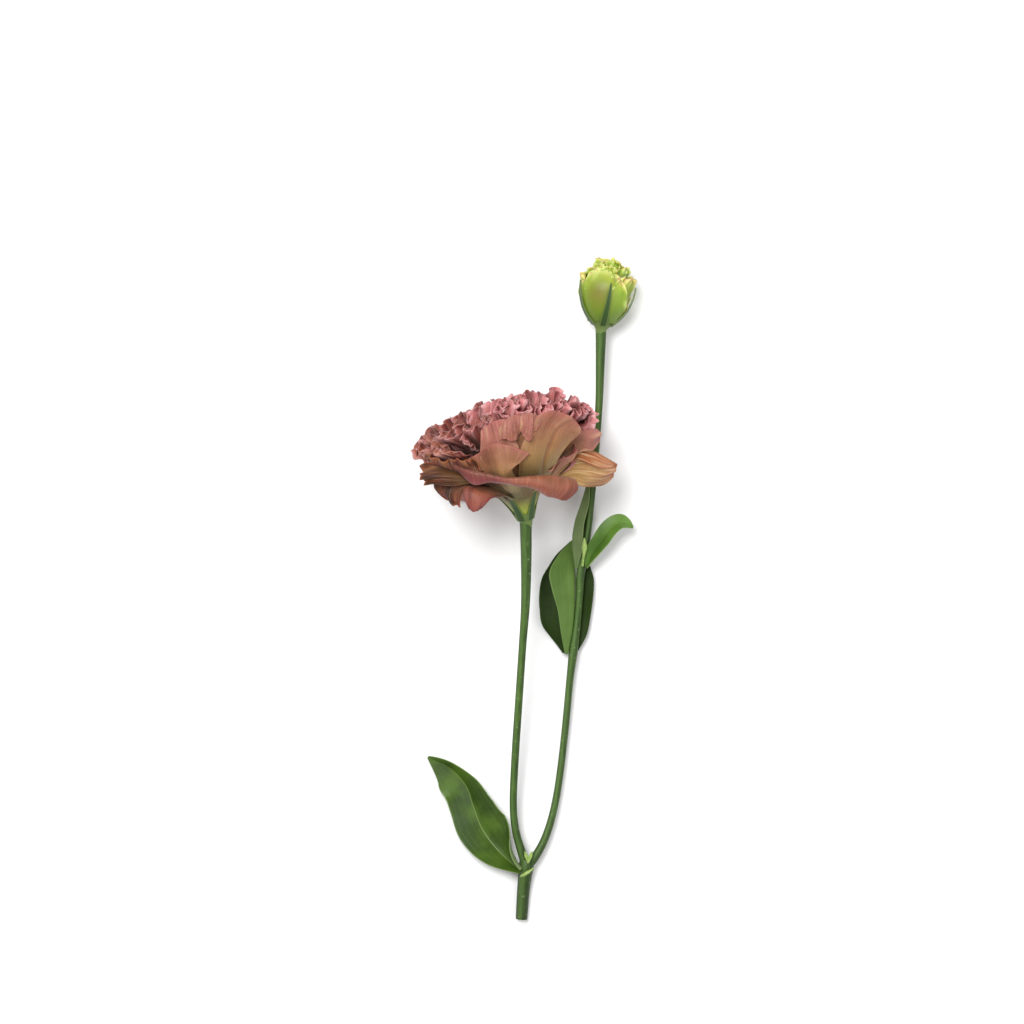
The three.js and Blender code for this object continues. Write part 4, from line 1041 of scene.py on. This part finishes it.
CUT_STEM = [(-0.1, -132.9, 2.35, 2.3), (0.6, -122, 3.1, 2.5), (1.4, -114.5, 4.4, 2.8),
            (1.8, -111.5, 5.0, 3.1), (2.0, -108.6, 5.4, 2.5)]
BLOOM_STALK = [(1.8, -111.5, 5.0, 1.9), (-0.4, -104.5, 6.0, 1.65), (-2.6, -96, 7.2, 1.5),
               (-3.4, -85, 8.9, 1.45), (-2.6, -66, 12.2, 1.5), (-1.3, -46, 15.6, 1.5), (0.3, -22, 19.8, 1.5),
               (1.4, -6, 22.4, 1.75), (1.7, 10, 25.2, 2.05), (1.6, 22, 27.6, 2.25), (1.5, 27.0, 28.7, 2.35)]
BUD_STALK = [(2.2, -111.5, 5.0, 1.9), (5.4, -107.6, 5.2, 1.7), (9.0, -101, 5.0, 1.55),
             (12.2, -91.5, 4.6, 1.45), (14.8, -78.4, 4.2, 1.4), (17.3, -58, 4.2, 1.4), (19.4, -36, 4.8, 1.45),
             (20.8, -24.6, 5.2, 1.75), (22.3, -13, 5.6, 1.45), (23.1, -3, 6.0, 1.45), (23.8, 7.8, 6.4, 1.7),
             (26.2, 20, 6.8, 1.35), (28.4, 40, 7.6, 1.3), (29.9, 57.8, 8.4, 1.35), (31.0, 75, 9.2, 1.5),
             (31.4, 90, 9.9, 1.8), (31.7, 103.6, 10.9, 2.15)]
mesh = new_mesh()
add_rod(mesh, CUT_STEM, steps=30, pith=True)
add_rod(mesh, BLOOM_STALK, steps=110)
add_rod(mesh, BUD_STALK, steps=170)
bmesh.ops.recalc_face_normals(mesh, faces=mesh.faces)
finish_piece(mesh, "stem_rods", [stem_paint], ["stem"])

# %% [markdown]
# ## Small things at the nodes
# A leaf was stripped at the fork and left a pale scar round the node, and two pale scales stand
# between the stalks. In the axil of the upper leaves there is a tiny pointed bud on a short stalk.
# They are small, but they tell the eye where the stem branches.

# %% Scar, scales and side bud
pale_paint, tree, shader = start_material("pale_yellow_green", Roughness=0.5, Subsurface_Weight=0.1,
                                          Subsurface_Scale=0.002)
patch = noise(place_on_object(tree), 900.0, 3.0)
coat(shader, ramp(patch, [(0.3, 118, 150, 62), (0.7, 166, 186, 108)]), patch, 0.4)

SCAR_RIM = [(2.9, -0.7), (3.4, -0.35), (3.6, 0), (3.4, 0.35), (2.9, 0.7), (2.8, 0), (2.9, -0.7)]
mesh = new_mesh()
add_turned(mesh, flower_frame((1.9, -113.5, 4.7), 36, 8), SCAR_RIM, 32)
finish_piece(mesh, "leaf_scar", [pale_paint])

mesh = new_mesh()
for foot, tip in (((2.4, -108.8, 8.6), (1.2, -105.0, 10.1)), ((2.8, -108.8, 8.6), (4.2, -105.0, 9.6))):
    half = tuple((a + b) / 2 for a, b in zip(foot, tip))
    halves, folds, face = [0.5, 0.75, 0.15], [30, 20, 10], [(0, 0, 1), (0, 0, 1)]
    surface = leaf_surface([foot, half, tip], halves, halves, folds, folds, face)
    add_blade(mesh, surface, leaf_waves(0.1, 1), 8, 10, 0.5)
finish_piece(mesh, "scales_at_fork", [pale_paint], ["fork_scales"], thick=0.3, rounds=1)

SCALE_FOOT = [(2.4, -109.8, 7.6, 0.5), (2.6, -108.8, 8.7, 0.75), (2.8, -107.9, 9.1, 0.35)]
mesh = new_mesh()
add_rod(mesh, SCALE_FOOT, steps=10, sides=16, ridge=0.05)
bmesh.ops.recalc_face_normals(mesh, faces=mesh.faces)
finish_piece(mesh, "foot_of_the_scales", [pale_paint])

SIDE_BUD = [(24.3, 9.2, 8.8, 0.5), (24.7, 12.4, 9.9, 0.45), (25.0, 14.8, 10.7, 0.75), (25.1, 16.6, 11.0, 1.1),
            (25.1, 18.4, 11.1, 0.8), (25.0, 20.6, 11.2, 0.2)]
mesh = new_mesh()
add_rod(mesh, SIDE_BUD, steps=26, sides=20, ridge=0.06)
bmesh.ops.recalc_face_normals(mesh, faces=mesh.faces)
finish_piece(mesh, "axil_bud", [pale_paint], ["side_bud"])

# %% [markdown]
# ## Floor, light and camera
# The cut stem lies on a plain pale surface. One large soft light hangs above and to the left, a
# second fills the shadows, and a pale world keeps the green leaves from going black. The camera looks
# straight down from far away with a long lens, so that the stem is seen as it would be from in front.

# %% Floor and world
FLOOR_REACH = 1.6  # metres from the middle of the floor to its sides
floor_mesh = bmesh.new()
bmesh.ops.create_grid(floor_mesh, x_segments=1, y_segments=1, size=FLOOR_REACH)
floor_data = bpy.data.meshes.new("floor")
floor_mesh.to_mesh(floor_data)
floor_mesh.free()
floor = bpy.data.objects.new("floor", floor_data)
bpy.context.scene.collection.objects.link(floor)
floor_paint, *_ = start_material("pale_floor", Roughness=0.9, Base_Color=(0.87, 0.87, 0.87, 1.0))
floor_data.materials.append(floor_paint)

world = bpy.data.worlds.new("pale_room")
bpy.context.scene.world = world
world.use_nodes = True
background = world.node_tree.nodes["Background"]
background.inputs["Color"].default_value = (1.0, 1.0, 1.0, 1.0)
background.inputs["Strength"].default_value = 0.5
print("floor:", floor.name, "world:", world.name)

# %% Lights
FLOWER_MIDDLE = Vector((0, 0.02, 0))


def add_light(name, place, size, power):
    lamp = bpy.data.lights.new(name, "AREA")
    lamp.shape, lamp.size, lamp.energy = "DISK", size, power
    light = bpy.data.objects.new(name, lamp)
    bpy.context.scene.collection.objects.link(light)
    light.location = place
    way = FLOWER_MIDDLE - Vector(place)
    light.rotation_euler = way.to_track_quat("-Z", "Y").to_euler()


add_light("key_from_upper_left", (-0.3, 0.4, 1.25), size=0.6, power=17)
add_light("fill_from_right", (0.9, -0.3, 1.1), size=1.2, power=7)
print("lights:", [light.name for light in bpy.data.lights])

# %% Camera
VIEW_ACROSS, STEM_HEIGHT = 0.4096, 0.012  # metres across the picture at the height of the stem
PICTURE_MIDDLE = (-0.00392, 0.03092)
LENS, SENSOR = 135.0, 36.0
lens = bpy.data.cameras.new("camera")
lens.type, lens.lens, lens.sensor_width = "PERSP", LENS, SENSOR
camera = bpy.data.objects.new("camera", lens)
bpy.context.scene.collection.objects.link(camera)
camera.location = (*PICTURE_MIDDLE, STEM_HEIGHT + VIEW_ACROSS * LENS / SENSOR)
camera.rotation_euler = (0, 0, 0)
bpy.context.scene.camera = camera
bpy.context.scene.view_settings.view_transform = "Standard"
print("camera height in metres:", round(camera.location.z, 3))
